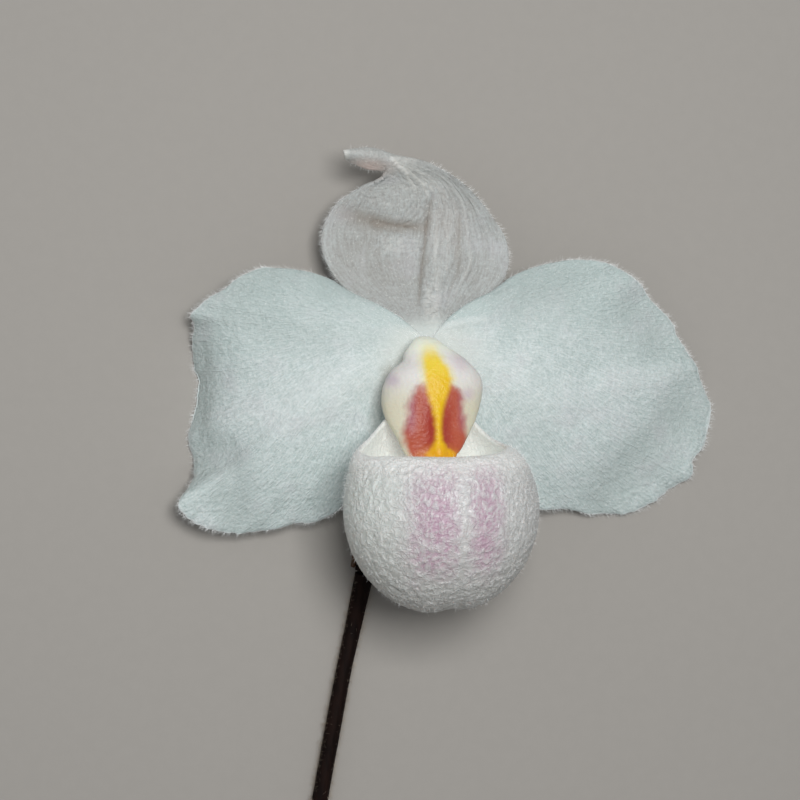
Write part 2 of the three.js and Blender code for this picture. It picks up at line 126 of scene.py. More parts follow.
print("halfway along a test curve:", thread([[0, 0, 0], [1, 0, 0], [2, 1, 0]])(np.array([0.5])).round(3))

# %% [markdown]
# ## Irregularity
#
# Nothing that grew is regular, so a formula alone looks like plastic. `mathutils.noise` gives smooth
# bumps that are the same on every run. Folded at zero, the same noise gives a net of narrow ridges,
# which is how wrinkled skin looks.

# %% Smooth noise and wrinkles
SEED_STEP = np.array([7.3, 3.1, 5.7])  # how far apart two seeds read the noise
WANDER = 0.35  # how far the ridges wander, as a share of their spacing
NARROWNESS = 2.6  # the higher, the narrower the ridges


def grain(points, size, seed=0):
    """Smooth noise from about -1 to 1. Its bumps have one size in mm, or one size for each axis."""
    scaled = np.asarray(points, float) / np.asarray(size, float) + seed * SEED_STEP
    return np.array([noise.noise(point) for point in scaled.tolist()])


def wrinkles(points, size, seed=0):
    """A net of ridges from 0 in the cells to 1 on the ridges."""
    drift = np.stack([grain(points, size, seed + k) for k in (11, 12, 13)], axis=1)
    bent = np.asarray(points, float) + WANDER * np.max(size) * drift
    return 1 - np.clip(NARROWNESS * np.abs(grain(bent, size, seed)), 0, 1)


print("noise at three points:", grain([[0, 0, 0], [1, 2, 3], [4, 5, 6]], 2.0, seed=1).round(3))

# %% [markdown]
# ## Sheets: petals and sepals
#
# A petal is a thin sheet, two skins with a little flesh between them. It could be sculpted, or modelled
# by moving the points of a plane by hand, but a formula keeps it exactly on the measured outline at any
# fineness. So a petal starts as a flat grid from `bmesh.ops.create_grid`. Each of its points has two
# shares, u from the base to the margin and v across, and the organ's shape turns them into a place. The
# grid's own UV map keeps u and v for the materials. A second formula raises the sheet along its normal,
# for veins and wrinkles, and Solidify makes the two skins.


# %% A sheet bent to a formula
def as_mesh(name, bm):
    """A mesh of what the bmesh holds. The bmesh is freed."""
    mesh = bpy.data.meshes.new(name)
    bm.to_mesh(mesh)
    bm.free()
    return mesh


def points_of(mesh):
    values = np.empty(3 * len(mesh.vertices))
    mesh.vertices.foreach_get("co", values)
    return values.reshape(-1, 3)


def bend(mesh, points):
    """Moves a mesh's points to new places, in millimetres from the flower's axis, and shades it smooth."""
    mesh.vertices.foreach_set("co", in_frame(points).ravel())
    mesh.update()
    mesh.shade_smooth()


def keep(mesh, name, values):
    """Keeps one number for each point as an attribute, for a material to read."""
    mesh.attributes.new(name, "FLOAT", "POINT").data.foreach_set("value", values.astype(np.float32))


def show(name, mesh):
    piece = bpy.data.objects.new(name, mesh)
    bpy.context.scene.collection.objects.link(piece)
    return piece


def sheet(name, shape, columns, rows, folds=None):
    """A grid bent to shape(u, v). Its valley is how deep it lies in folds(u, v, points), in mm, for painted
    shade and highlights.
    """
    bm = bmesh.new()
    bm.loops.layers.uv.new("growth")
    bmesh.ops.create_grid(bm, x_segments=columns, y_segments=rows, size=0.5, calc_uvs=True)
    mesh = as_mesh(name, bm)
    u, v = points_of(mesh)[:, :2].T + 0.5
    points = shape(u, v)
    bend(mesh, points)
    if folds:
        keep(mesh, "valley", np.clip(-folds(u, v, points), -1, 1))
    return show(name, mesh)


print("a sheet is a grid, bent")


# %% Raise its surface
def normals(shape, u, v, small=1e-4):
    """The directions in which shape(u, v) faces."""
    along = shape(u + small, v) - shape(u - small, v)
    across = shape(u, v + small) - shape(u, v - small)
    return unit(np.cross(along, across))


def raised(shape, relief, facing=1, plainer=None):
    """The shape with relief(u, v, points) added in mm, along its own normal or that of a plainer shape."""

    def bumpy(u, v):
        points = shape(u, v)
        return points + facing * normals(plainer or shape, u, v) * relief(u, v, points)[:, None]

    return bumpy


print("relief is added along the normal")


# %% Two skins, thinner at the margin
def two_skins(piece, thickness, edge_share=1.0, edge=None):
    """Solidify round the sheet's middle. edge(u, v) is 1 inside and 0 at the margin, where it thins."""
    wall = piece.modifiers.new("two skins", "SOLIDIFY")
    wall.thickness = thickness * MM
    wall.offset = 0
    if edge is not None:
        group = piece.vertex_groups.new(name="flesh")
        uv = np.empty(2 * len(piece.data.loops))
        piece.data.uv_layers["growth"].data.foreach_get("uv", uv)
        corner = np.empty(len(piece.data.loops), int)
        piece.data.loops.foreach_get("vertex_index", corner)
        shares = np.zeros((len(piece.data.vertices), 2))
        shares[corner] = uv.reshape(-1, 2)
        for index, weight in enumerate(edge(shares[:, 0], shares[:, 1]).tolist()):
            group.add([index], weight, "REPLACE")
        wall.vertex_group = "flesh"
        wall.thickness_vertex_group = edge_share
    return piece


def stand_in(piece, node):
    """The piece rides on the flower and hides the plain node."""
    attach(piece, "root")
    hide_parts(node)
    print(piece.name, "stands in for", node, "with", len(piece.data.polygons), "faces")


print("sheet tools ready")

# %% [markdown]
# ## The two broad petals
#
# Each petal fans out from the hub like a hand of cards: its veins leave the hub side by side and bend
# outwards. So the grid's u runs along a vein and v from the upper edge round to the lower one. The
# tables give the margin, as x outwards, y, the height to which the petal arches down, and how much
# further its margin rolls back. The left petal's outer margin is rolled right down to the surface,
# which is what that side of the flower rests on.

# %% The petals' measured margins
RIGHT_MARGIN = [
    [14.7, 11.4, 11.0, 0.0], [19.9, 13.8, 10.5, 0.0], [25.4, 15.0, 10.0, 0.0], [31.5, 15.0, 9.5, 0.0],
    [36.3, 13.8, 8.5, 0.0], [39.4, 11.6, 7.5, 0.0], [44.1, 7.0, 6.0, 0.0], [47.6, 3.7, 5.0, 0.0],
    [48.5, 0.6, 4.4, -0.2], [51.6, -3.0, 3.3, -0.4], [53.7, -7.3, 2.4, -0.9], [55.7, -11.8, 1.7, -1.4],
    [55.6, -16.7, 1.5, -0.9], [54.2, -19.4, 1.5, -0.4], [51.8, -22.3, 1.7, 0.4], [52.0, -24.4, 1.5, -0.1],
    [49.4, -26.7, 1.4, -0.4], [44.9, -29.3, 1.3, -0.3], [40.0, -31.8, 1.6, 0.0], [34.2, -32.1, 2.3, 0.0],
    [27.3, -30.8, 3.6, 0.0], [22.3, -30.7, 5.0, 0.0], [16.4, -27.9, 7.4, 0.0], [10.3, -21.3, 10.2, 0.0],
]
LEFT_MARGIN = [
    [16.8, 11.1, 11.0, 0.0], [22.2, 12.9, 10.5, 0.0], [26.8, 13.5, 10.0, 0.0], [30.5, 13.3, 9.5, 0.0],
    [34.4, 11.5, 9.0, 0.0], [38.1, 8.8, 8.5, -0.3], [40.8, 6.5, 8.1, -0.5], [42.5, 5.0, 7.9, -0.9],
    [41.7, 3.4, 7.8, -2.8], [41.9, 0.5, 7.7, -5.4], [41.2, -4.0, 7.6, -7.7], [41.0, -9.5, 7.5, -8.0],
    [41.9, -15.5, 7.6, -7.6], [42.3, -18.9, 7.7, -6.9], [41.5, -22.6, 7.8, -6.2], [41.4, -24.1, 7.8, -4.6],
    [42.6, -26.1, 7.8, -1.8], [44.55, -29.2, 7.8, 0.3], [43.1, -31.6, 7.4, 0.4], [39.1, -33.3, 6.6, 0.3],
    [34.4, -34.7, 5.7, 0.0], [29.2, -34.1, 5.0, 0.0], [24.2, -32.9, 4.8, 0.0], [19.5, -32.6, 5.2, 0.0],
    [15.6, -30.4, 6.6, 0.0], [12.8, -26.2, 8.5, 0.0], [9.9, -21.2, 10.3, 0.0],
]
BEARINGS = {"right": (50, -58), "left": (42, -50)}  # degrees at the hub, upper edge and lower edge
TUCK = {"right": 0.0, "left": 0.8}  # how far the lower edge curls back beside the pouch
HUB_RADIUS = 3.85  # where the petals leave the hub
INNER_REACH, BASE_HEIGHT = 0.9, 13.3  # where they begin under the staminode, and how high
print(len(RIGHT_MARGIN) + len(LEFT_MARGIN), "measured points on the margins")

# %% Frills and rounded corners
CORNER_REACH, READINGS = 0.1, 9  # how far along the margin a corner is rounded, and with how many readings


def wave(turns):
    return np.sin(2 * np.pi * turns)


def frill(v):
    """Scallops and fine teeth along the margin. Both fade out at its two ends."""
    ends = smoothstep(0, 0.12, v) * smoothstep(1, 0.86, v)
    scallops = 0.6 * wave(9 * v + 0.1) + 0.4 * wave(16 * v + 0.6)
    teeth = 0.6 * wave(37 * v + 1.5 * np.sin(9 * v)) + 0.4 * wave(61 * v + 2 * np.sin(13 * v))
    return ends * scallops, ends * teeth * smoothstep(0.1, 0.4, v) * (0.55 + 0.45 * wave(3.3 * v))


def softened(edge):
    """The same outline with its corners rounded off, except at its two ends."""

    def read(v):
        window = CORNER_REACH * np.clip(np.minimum(v, 1 - v) / CORNER_REACH, 0, 1)
        weights = np.exp(-np.linspace(-1.6, 1.6, READINGS) ** 2)
        steps = zip(np.linspace(-1, 1, READINGS), weights / weights.sum())
        return sum(weight * edge(v + step * window) for step, weight in steps)

    return read


print("scallops at a quarter of the margin:", frill(np.array([0.25]))[0].round(3))

# %% The petals' shape
SCALLOP, TOOTH = 0.3, 0.16  # how far the frills reach outwards, in mm
SCALLOP_LIFT, TOOTH_LIFT = 0.3, 0.1  # and how far they rise
HUB_RISE = 0.7  # how far the base climbs inside the hub
UPPER_ROLL = 0.5  # how far the upper edge rolls down


def petal_shape(side, margin, bearings, tuck, corners=1):
    """A petal's middle surface. side is 1 to the right, -1 to the left. corners=0 rounds the margin."""
    edge = thread(margin, 2)
    rounded = softened(edge)
    first, last = np.radians(bearings)

    def shape(u, v):
        u, v = np.clip(u, 0, 1), np.clip(v, 0, 1)
        x, y = rounded(v).T[:2]
        true_x, true_y, level, roll = edge(v).T
        scallops, teeth = frill(v)
        far = np.hypot(x, y)
        reach = lerp(INNER_REACH, far, 1 - (1 - u) ** 1.35)
        out = np.clip((reach - HUB_RADIUS) / (far - HUB_RADIUS), 0, 1)
        reach = reach + corners * (SCALLOP * scallops * out**3 + TOOTH * teeth * out**16)
        bearing = lerp(lerp(first, last, v), np.arctan2(y, x), smoothstep(0, 0.75, out))
        height = lerp(BASE_HEIGHT, level, out**1.7) + roll * out**9
        height += SCALLOP_LIFT * scallops * out**12 + TOOTH_LIFT * teeth * out**20
        height += HUB_RISE * (1 - np.clip(reach / HUB_RADIUS, 0, 1)) ** 2
        height -= tuck * np.clip((v - 0.82) / 0.18, 0, 1) ** 2 * smoothstep(0, 0.1, out)
        upper_edge = np.clip(1 - v / 0.035, 0, 1) ** 2 * smoothstep(0.0, 0.12, u) * smoothstep(0.98, 0.7, u)
        height -= corners * UPPER_ROLL * upper_edge
        pull = corners * out**4
        across = reach * np.cos(bearing) + pull * (true_x - x)
        upwards = reach * np.sin(bearing) + pull * (true_y - y)
        return np.stack([side * across, upwards, height], axis=1)

    return shape


print("a petal's shape reads its margin at any share")


# %% Folds
def groove(points, start, end, width, depth):
    """A soft fold along the line from start to end, seen from above, that fades out at its ends."""
    start, end = np.array(start, float), np.array(end, float)
    along = end - start
    place = ((points[:, :2] - start) @ along) / (along @ along)
    distance = np.linalg.norm(points[:, :2] - start - np.clip(place, 0, 1)[:, None] * along, axis=1)
    fade = smoothstep(-0.3, 0.2, place) * smoothstep(1.3, 0.7, place)
    return -depth * fade * np.exp(-((distance / width) ** 2))


def grooves(points, rows):
    return sum(groove(points, *row) for row in rows)


def blade(u, v):
    """1 on a petal's blade, 0 at its base and its side edges."""
    return smoothstep(0.03, 0.25, u) * smoothstep(0.0, 0.06, v) * smoothstep(1.0, 0.94, v)


def folded(folds):
    """The sum of a petal's folds, which fade out towards its base and its side edges."""
    return lambda u, v, points: blade(u, v) * grooves(points, folds)


def tinted(folds, tints):
    """The folds, and tints without relief, which reach the base too: marks painted lighter or darker."""
    height = folded(folds)
    return lambda u, v, points: height(u, v, points) + grooves(points, tints)


def petal_relief(folds, seed):
    """Broad swells, the folds, and away from the upper edge a faint net of veins and a grain of fibres."""

    def relief(u, v, points):
        swell = 0.3 * grain(points, 13, seed) + 0.12 * grain(points, 4.5, seed + 1)
        net = 0.06 * wrinkles(points, 2.1, seed + 2) + 0.06 * wrinkles(points, 0.9, seed + 3)
        fibres = 0.03 * grain(points, 0.45, seed + 4)
        return blade(u, v) * (swell + (net + fibres) * smoothstep(0.04, 0.2, v)) + folded(folds)(u, v, points)

    return relief


print("folds are soft lines, seen from above")

# %% Where each petal folds
LEFT_FOLDS = [  # start, end, width, depth; a fold of negative depth is a swelling
    [(-42, 5.0), (-29, 3.6), 2.6, 0.5],
    [(-30, 0.5), (-10, -1.5), 3.4, 0.5],
    [(-36, -18), (-34, -34), 4.0, 1.3],
    [(-8, -3), (-34, -16), 5.0, -0.7],
    [(-27, 15), (-40, 8), 4.5, 0.9],
    [(-40.0, 2), (-40.5, -21), 1.8, 0.5],
]
RIGHT_FOLDS = [
    [(33, -31), (53, -10), 5.5, 1.2],
    [(38, 8), (47, -1), 5.0, 0.9],
    [(33, -7.5), (51, -5.5), 2.6, -0.6],
    [(14, 5), (30, 13), 4.5, 0.7],
    [(8, -2), (26, -12), 5.0, -0.5],
    [(2.4, 2.2), (6.0, 3.6), 0.7, -0.8],
    [(6.0, 3.6), (11.0, 4.3), 0.9, -0.4],
]
# a paler mark by the hub and a darker band further out
LEFT_TINTS = [
    [(-2.0, 0.0), (-5.0, 1.2), 1.4, -0.8],
    [(-7.5, 0.6), (-13.0, 0.6), 2.2, 0.4],
]
# painted highlights on the woolly ridges round the hub
RIGHT_TINTS = [
    [(0.9, 0.8), (3.0, 2.9), 0.4, -1.6],
    [(3.0, 2.9), (6.2, 3.9), 0.45, -1.4],
    [(6.2, 3.9), (11.0, 4.4), 0.6, -0.8],
    [(7.6, -1.0), (14.0, -4.5), 1.2, -0.6],
]
print(len(LEFT_FOLDS) + len(RIGHT_FOLDS), "folds and", len(LEFT_TINTS) + len(RIGHT_TINTS), "tints")

# %% Grow both petals
PETAL_GRID = (150, 250)
PETAL_THICKNESS, PETAL_RIM = 0.8, 0.45  # in mm, and the share of it that is left at the rim
CLEARANCE = 0.3  # how far the middle of a sheet stays above the surface that the flower lies on


def petal_edge(u, v):
    """1 in the middle of a petal, 0 at its margin."""
    return np.clip(np.minimum(np.minimum((1 - u) / 0.05, v / 0.02), (1 - v) / 0.02), 0, 1)


def petal(side, margin, name, folds, seed, facing):
    shapes = [petal_shape(side, margin, BEARINGS[name], TUCK[name], corners) for corners in (1, 0)]
    return raised(shapes[0], petal_relief(folds, seed), facing, shapes[1])


def on_the_surface(shape):
    """The same shape, kept just above the surface that the flower lies on."""

    def kept(u, v):
        points = shape(u, v)
        points[:, 2] = np.maximum(points[:, 2], CLEARANCE)
        return points

    return kept


right_shape = petal(1, RIGHT_MARGIN, "right", RIGHT_FOLDS, 1, -1)
left_shape = petal(-1, LEFT_MARGIN, "left", LEFT_FOLDS, 31, 1)
right_tints, left_tints = tinted(RIGHT_FOLDS, RIGHT_TINTS), tinted(LEFT_FOLDS, LEFT_TINTS)
petal_right = sheet("petal_right_fine", on_the_surface(right_shape), *PETAL_GRID, right_tints)
petal_left = sheet("petal_left_fine", on_the_surface(left_shape), *PETAL_GRID, left_tints)
for piece, node in ((petal_right, "petal_right"), (petal_left, "petal_left")):
    two_skins(piece, PETAL_THICKNESS, PETAL_RIM, petal_edge)
    stand_in(piece, node)

# %% [markdown]
# ## The dorsal sepal
#
# The upper sepal stands behind the petals. Its grid runs between three ribs, one on each margin and one
# down the middle, all from the base to the tip. The tip is what gives this flower its character: it
# leans over, curls forwards and twists into a point. A groove runs down the middle, ridges fan out on
# the right half, and the left half is creased where the sepal folds forwards.

# %% The dorsal sepal's ribs
DORSAL_LEFT = [
    [-1.4, 0.9, 13.0], [-7.2, 5.4, 10.4], [-13.2, 8.6, 9.4], [-17.5, 13.6, 8.6], [-18.8, 19.0, 8.2],
    [-16.4, 24.7, 8.6], [-12.2, 27.8, 9.2], [-8.2, 29.1, 10.2], [-6.8, 30.8, 11.4], [-10.3, 31.2, 12.2],
    [-15.2, 33.0, 13.4],
]
DORSAL_MIDDLE = [
    [0.0, 0.7, 13.4], [0.0, 8.0, 10.2], [-0.1, 12.0, 8.8], [0.0, 16.5, 7.8], [0.4, 21.0, 7.6],
    [0.8, 25.4, 8.2], [-0.5, 28.7, 9.6], [-3.8, 31.0, 11.6], [-6.4, 32.2, 13.0], [-10.2, 33.1, 14.2],
    [-15.4, 33.6, 14.8],
]
DORSAL_RIGHT = [
    [1.4, 0.9, 13.0], [7.0, 5.2, 10.4], [12.0, 8.3, 9.4], [15.4, 13.7, 8.6], [15.1, 18.8, 8.4],
    [12.3, 23.1, 8.9], [7.6, 28.3, 9.8], [1.0, 32.1, 11.4], [-5.5, 33.3, 12.8], [-10.1, 34.6, 13.8],
    [-15.6, 34.2, 14.8],
]


def between_ribs(left, middle, right):
    """A surface between three ribs, with u from base to tip and v from left to right."""
    ribs = [thread(rows) for rows in (left, middle, right)]

    def shape(u, v):
        a, b, c = (rib(np.clip(u, 0, 1)) for rib in ribs)
        t = (2 * np.clip(v, 0, 1) - 1)[:, None]
        return t * (t - 1) / 2 * a + (1 - t * t) * b + t * (t + 1) / 2 * c

    return shape


print(len(DORSAL_MIDDLE), "points on each rib")

# %% Its folds
MIDRIB = [[(-1.3, 7), (1.4, 27), 0.6, 0.45], [(1.6, 4), (2.6, 20), 1.1, -0.3]]
CREASES = [
    [(-16, 23.8), (-8, 21.8), 1.8, 0.4], [(-9, 21.8), (0.2, 21.0), 1.1, 0.45],
    [(-8.8, 20.9), (-2.9, 19.7), 0.4, 0.15], [(-8.0, 21.9), (-0.8, 20.7), 0.35, 0.12],
]
TIP_RIDGES = [
    [(-6.9, 33.0), (-3.9, 30.6), 0.35, -0.16], [(-3.9, 30.6), (-1.4, 27), 0.3, -0.14],
    [(-5.2, 31.9), (0.2, 28.4), 0.35, -0.16],
]
FAN_RIDGES = [(0.4, 0.27, 0), (0.35, 0.135, 0.2), (0.25, 0.081, 0.4)]  # share, spacing and start across


def near(points, x, y, wide, high):
    """1 round a place and 0 further off than the given half sizes."""
    return np.exp(-(((points[:, 0] - x) / wide) ** 4) - ((points[:, 1] - y) / high) ** 4)


def crinkles(points):
    """Level crinkles on the left half, under the crease."""
    return wrinkles(points, (2.6, 0.8, 2.0), 63) * near(points, -4.2, 17.6, 4.4, 1.9)


def rungs(points, y):
    """Short rungs across the foot of the midrib, round the height y."""
    return wrinkles(points, (1.6, 0.6, 1.2), 70) * near(points, 0.9, y, 1.5, 4.8)


def sepal_blade(u):
    return smoothstep(0.02, 0.12, u) * smoothstep(0.98, 0.85, u)


def dorsal_folds(u, v, points):
    """Midrib, creases where the sepal folds forwards, ridges to the tip, a fan of them, and crinkles."""
    t = 2 * v - 1
    right_half = smoothstep(0.02, 0.15, t) * smoothstep(0.95, 0.55, t)
    fan = right_half * smoothstep(0.06, 0.3, u) * smoothstep(0.85, 0.45, u)
    shift = 0.3 * grain(points, 7, 61)
    ridges = sum(
        share * np.cos(2 * np.pi * (t / spacing + shift * 0.27 / spacing + start))
        for share, spacing, start in FAN_RIDGES
    )
    ridges = ridges * (1 + 0.9 * grain(points, (2.0, 7.0, 7.0), 62))
    from_bend = np.hypot(points[:, 0] + 5.2, points[:, 1] - 26.4)
    arcs = np.cos(2 * np.pi * from_bend / 0.9) * near(points, -2.2, 23.4, 2.2, 2.4)
    lines = grooves(points, MIDRIB + CREASES + TIP_RIDGES)
    small = 0.04 * arcs + 0.2 * crinkles(points) + 0.24 * rungs(points, 7.5)
    return sepal_blade(u) * (lines + small) + 0.15 * fan * ridges


print(len(MIDRIB + CREASES + TIP_RIDGES), "lines on the dorsal sepal")

# %% Its tints, most of them painted light and shade
# painted highlights along the ridges towards the tip and down the right half
RIDGE_HIGHLIGHTS = [
    [(-7.2, 33.4), (-4.2, 31.2), 0.22, -0.35], [(-4.2, 31.2), (-1.6, 28.0), 0.2, -0.45],
    [(-4.4, 32.0), (-0.6, 29.0), 0.18, -0.4], [(-0.6, 29.0), (0.8, 26.6), 0.2, -0.4],
    [(-2.2, 31.6), (2.2, 28.6), 0.25, -0.35], [(2.2, 28.6), (3.6, 25.6), 0.2, -0.45],
    [(-1.0, 30.4), (1.8, 27.4), 0.18, -0.4], [(3.2, 26.4), (4.2, 20.0), 0.2, -0.3],
    [(2.4, 24.0), (2.0, 12.0), 0.35, -0.2], [(4.6, 21.0), (3.6, 8.0), 0.3, -0.2],
]
# the first a brownish line of the sepal's own, the second painted shade along the crease
DUSKY_LINES = [[(6.4, 23.0), (6.0, 12.0), 0.5, 0.3], [(-13, 23.2), (-1.0, 21.6), 1.4, 0.12]]
AREAS = [  # how much paler, x, y and the half sizes
    (0.2, 0.5, 29.5, 4.5, 3.2), (0.12, -6.5, 26.0, 4.5, 3.0), (-0.16, -8.5, 15.0, 8.5, 6.0),
    (-0.12, 2.4, 14.0, 2.4, 8.0), (0.45, -4.6, 32.3, 2.6, 1.3), (0.2, -5.4, 29.5, 2.4, 1.6),
]


def dorsal_tints(u, v, points):
    """The folds, and tints without relief: painted highlights, paler and darker areas, dusky lines, and
    painted light and shade on the tip.
    """
    tints = grooves(points, RIDGE_HIGHLIGHTS + DUSKY_LINES)
    tints += sum(share * near(points, *place) for share, *place in AREAS)
    # painted highlights on the crinkles and the rungs
    tints += 0.3 * crinkles(points) + 0.25 * rungs(points, 6.5)
    # painted light and shade: the tip lighter along its upper margin, darker along its lower one
    tip = smoothstep(0.74, 0.86, u) * lerp(-0.15, 0.15, smoothstep(0.3, 0.7, v))
    return dorsal_folds(u, v, points) + tints + tip


print(len(RIDGE_HIGHLIGHTS), "pale lines")

# %% Grow the dorsal sepal
DORSAL_GRID = (230, 180)
SEPAL_THICKNESS, SEPAL_RIM = 0.75, 0.6


def dorsal_relief(u, v, points):
    inner = sepal_blade(u) * smoothstep(0, 0.08, v) * smoothstep(1, 0.92, v)
    skin = 0.07 * wrinkles(points, (1.8, 1.0, 1.5), 64) + 0.05 * wrinkles(points, 0.8, 65)
    skin += 0.03 * grain(points, 0.45, 69) + 0.25 * grain(points, 6, 66)
    return dorsal_folds(u, v, points) + inner * skin


def sepal_edge(u, v):
    """1 in the middle of a sepal, 0 at its margin and its tip."""
    return np.clip(np.minimum(np.minimum(v, 1 - v) / 0.03, (1 - u) / 0.02), 0, 1)


dorsal_shape = raised(between_ribs(DORSAL_LEFT, DORSAL_MIDDLE, DORSAL_RIGHT), dorsal_relief, facing=-1)
dorsal = sheet("dorsal_sepal_fine", dorsal_shape, *DORSAL_GRID, dorsal_tints)
two_skins(dorsal, SEPAL_THICKNESS, SEPAL_RIM, sepal_edge)
stand_in(dorsal, "dorsal_sepal")

# %% [markdown]
# ## The synsepal
#
# The two lower sepals have grown into one, which hides behind the pouch. It is the same kind of sheet
# between three ribs, plainer because nobody sees it from the front, but seen from the side and the back
# of the flower.

# %% Grow the synsepal
SYNSEPAL_SIDE = [
    [1.4, -1.8, 12.4], [5.6, -8.0, 10.4], [9.0, -15.0, 8.8], [10.2, -22.0, 7.8], [8.8, -29.0, 7.4],
    [5.0, -35.0, 7.6], [0.5, -38.4, 7.9],
]
SYNSEPAL_MIDDLE = [
    [0, -2.2, 12.5], [0, -8.6, 10.9], [0, -15.4, 9.6], [0, -22.4, 8.7], [0, -29.4, 8.1], [0, -35.4, 7.9],
    [0, -38.6, 8.0],
]


def synsepal_relief(u, v, points):
    """A keel down the middle, fine veins and a few wrinkles."""
    t = 2 * v - 1
    body = smoothstep(0.0, 0.1, u) * smoothstep(1.0, 0.85, u)
    keel = -0.25 * np.exp(-(t * t) / 0.01)
    veins = 0.06 * np.cos(2 * np.pi * (t / 0.14 + 0.3 * grain(points, 8, 71)))
    return body * (keel + veins + 0.06 * wrinkles(points, 1.8, 72) + 0.2 * grain(points, 8, 73))


mirrored = [[-x, y, z] for x, y, z in SYNSEPAL_SIDE]
synsepal_ribs = between_ribs(mirrored, SYNSEPAL_MIDDLE, SYNSEPAL_SIDE)
synsepal_shape = raised(synsepal_ribs, synsepal_relief, facing=-1)
synsepal = sheet("synsepal_fine", synsepal_shape, 110, 70)
two_skins(synsepal, SEPAL_THICKNESS, SEPAL_RIM, sepal_edge)
stand_in(synsepal, "synsepal")

# %% [markdown]
# ## The pouch
#
# The pouch is the lip of the orchid, blown up like a slipper, with a mouth that an insect can climb
# into. It is one closed skin, outside and inside, joined at the rim. A Solidify modifier could give it
# a wall, but then the rim would be a square edge. So a sphere from `bmesh.ops.create_uvsphere` is
# pressed into the shape of a cup: three quarters of its rings become the outside, from the toe up to
# the rim, and the last quarter turns in and becomes the inside. The outer skin is wrinkled all over
# like a leather purse; how deep each point lies in a wrinkle is kept in an attribute, because the blush
# gathers there, and so does the shade that is painted into the creases.

# %% The pouch's shape
POUCH_CENTRE = (0.0, -29.0, 28.0)
HALF_WIDTH, HALF_DEPTH, TOE = 17.2, 15.0, 18.3
WIDEST = 0.52  # where the pouch is widest, as a share of the way from the toe to the rim
DENT = 0.9  # how deep the groove in the toe is
RIGHT_RIM = thread([
    [0.0, -19.5, 37.0], [5.2, -19.3, 36.2], [9.0, -18.9, 33.6], [10.9, -18.2, 29.5], [10.9, -17.7, 25.3],
    [9.4, -16.0, 20.9], [7.2, -12.9, 17.6], [4.6, -9.3, 15.8], [2.0, -6.6, 15.0], [0.0, -5.6, 14.8],
])
LEFT_RIM = thread([
    [0.0, -19.5, 37.0], [-5.5, -19.4, 36.3], [-9.8, -19.4, 34.3], [-13.0, -19.5, 31.0], [-14.1, -18.7, 27.0],
    [-11.6, -16.1, 22.2], [-9.0, -13.4, 19.0], [-6.6, -10.9, 17.0], [-4.4, -8.4, 15.7], [-2.0, -6.3, 15.0],
    [0.0, -5.6, 14.8],
])


def pouch_outside(down, turn):
    """A point of the outer skin: down is 0 at the toe and 1 on the rim, turn goes round from the front."""
    cx, cy, cz = POUCH_CENTRE
    sideways, forwards = np.sin(turn), np.cos(turn)
    climb = np.clip(down / WIDEST, 0, 1) * np.pi / 2
    dent = DENT * np.exp(-((HALF_WIDTH * np.sin(climb) * sideways - 1.5) ** 2) / 7)
    low_x = cx + HALF_WIDTH * np.sin(climb) * sideways
    low_y = cy - (TOE - dent * np.cos(climb)) * np.cos(climb)
    low = np.stack([low_x, low_y, cz + HALF_DEPTH * np.sin(climb) * forwards], axis=1)
    round_share = np.abs(turn) / np.pi
    end = np.where((turn < 0)[:, None], LEFT_RIM(round_share), RIGHT_RIM(round_share))
    start = np.stack([cx + HALF_WIDTH * sideways, np.full_like(turn, cy), cz + HALF_DEPTH * forwards], axis=1)
    behind = smoothstep(0.2, -0.8, forwards)[:, None]
    bulge = np.where(turn < 0, 1.6, 3.2) * sideways
    overhang = np.stack([bulge, np.full_like(turn, 0.5), 3.4 * forwards], axis=1) * (1 - behind)
    below = np.stack([2.0 * sideways, np.full_like(turn, -6.5), np.full_like(turn, -1.6)], axis=1) * behind
    first = start + np.array([0, 1, 0]) * lerp(5.6, 9, behind)
    second = end + overhang + below
    t = np.clip((down - WIDEST) / (1 - WIDEST), 0, 1)[:, None]
    high = (1 - t) ** 3 * start + 3 * (1 - t) ** 2 * t * first + 3 * (1 - t) * t**2 * second + t**3 * end
    return np.where((down <= WIDEST)[:, None], low, high)


def pouch_inwards(down, turn, small=2e-3):
    """The direction from the outer skin towards the hollow."""
    down = np.clip(down, small, 1)
    along = pouch_outside(down, turn) - pouch_outside(down - small, turn)
    round_ = pouch_outside(down, turn + small) - pouch_outside(down, turn - small)
    inwards = unit(np.cross(along, round_))
    middle = np.array(POUCH_CENTRE) - pouch_outside(down, turn)
    return inwards * np.where(np.sum(inwards * middle, axis=1) < 0, -1, 1)[:, None]


print("the pouch's toe:", pouch_outside(np.array([0.0]), np.array([0.1])).round(2))

# %% Its wrinkles
WRINKLE_DEPTH = 0.3


def pouch_relief(points, down):
    """Worm-like creases: upright near the rim, level below, faint at the sides, the rim and the toe."""
    upright = wrinkles(points, (0.7, 1.7, 0.8), 81)
    level = wrinkles(points, (1.7, 0.75, 1.2), 82)
    share = smoothstep(-26, -36, points[:, 1] + 3 * grain(points, 6, 85))
    fine = wrinkles(points, 0.6, 83)
    stripe = 1 - 0.4 * np.exp(-(((points[:, 0] - 1.4) / 1.2) ** 2))
    creases = (lerp(upright, level, share) * 0.7 + 0.4 * fine) * stripe
    facing = smoothstep(26, 38, points[:, 2])
    fade = smoothstep(1.0, 0.82, down) * lerp(0.35, 1, facing)
    return creases * fade, 0.14 * grain(points, 1.5, 84) * fade


print("wrinkles up to", WRINKLE_DEPTH, "mm deep")

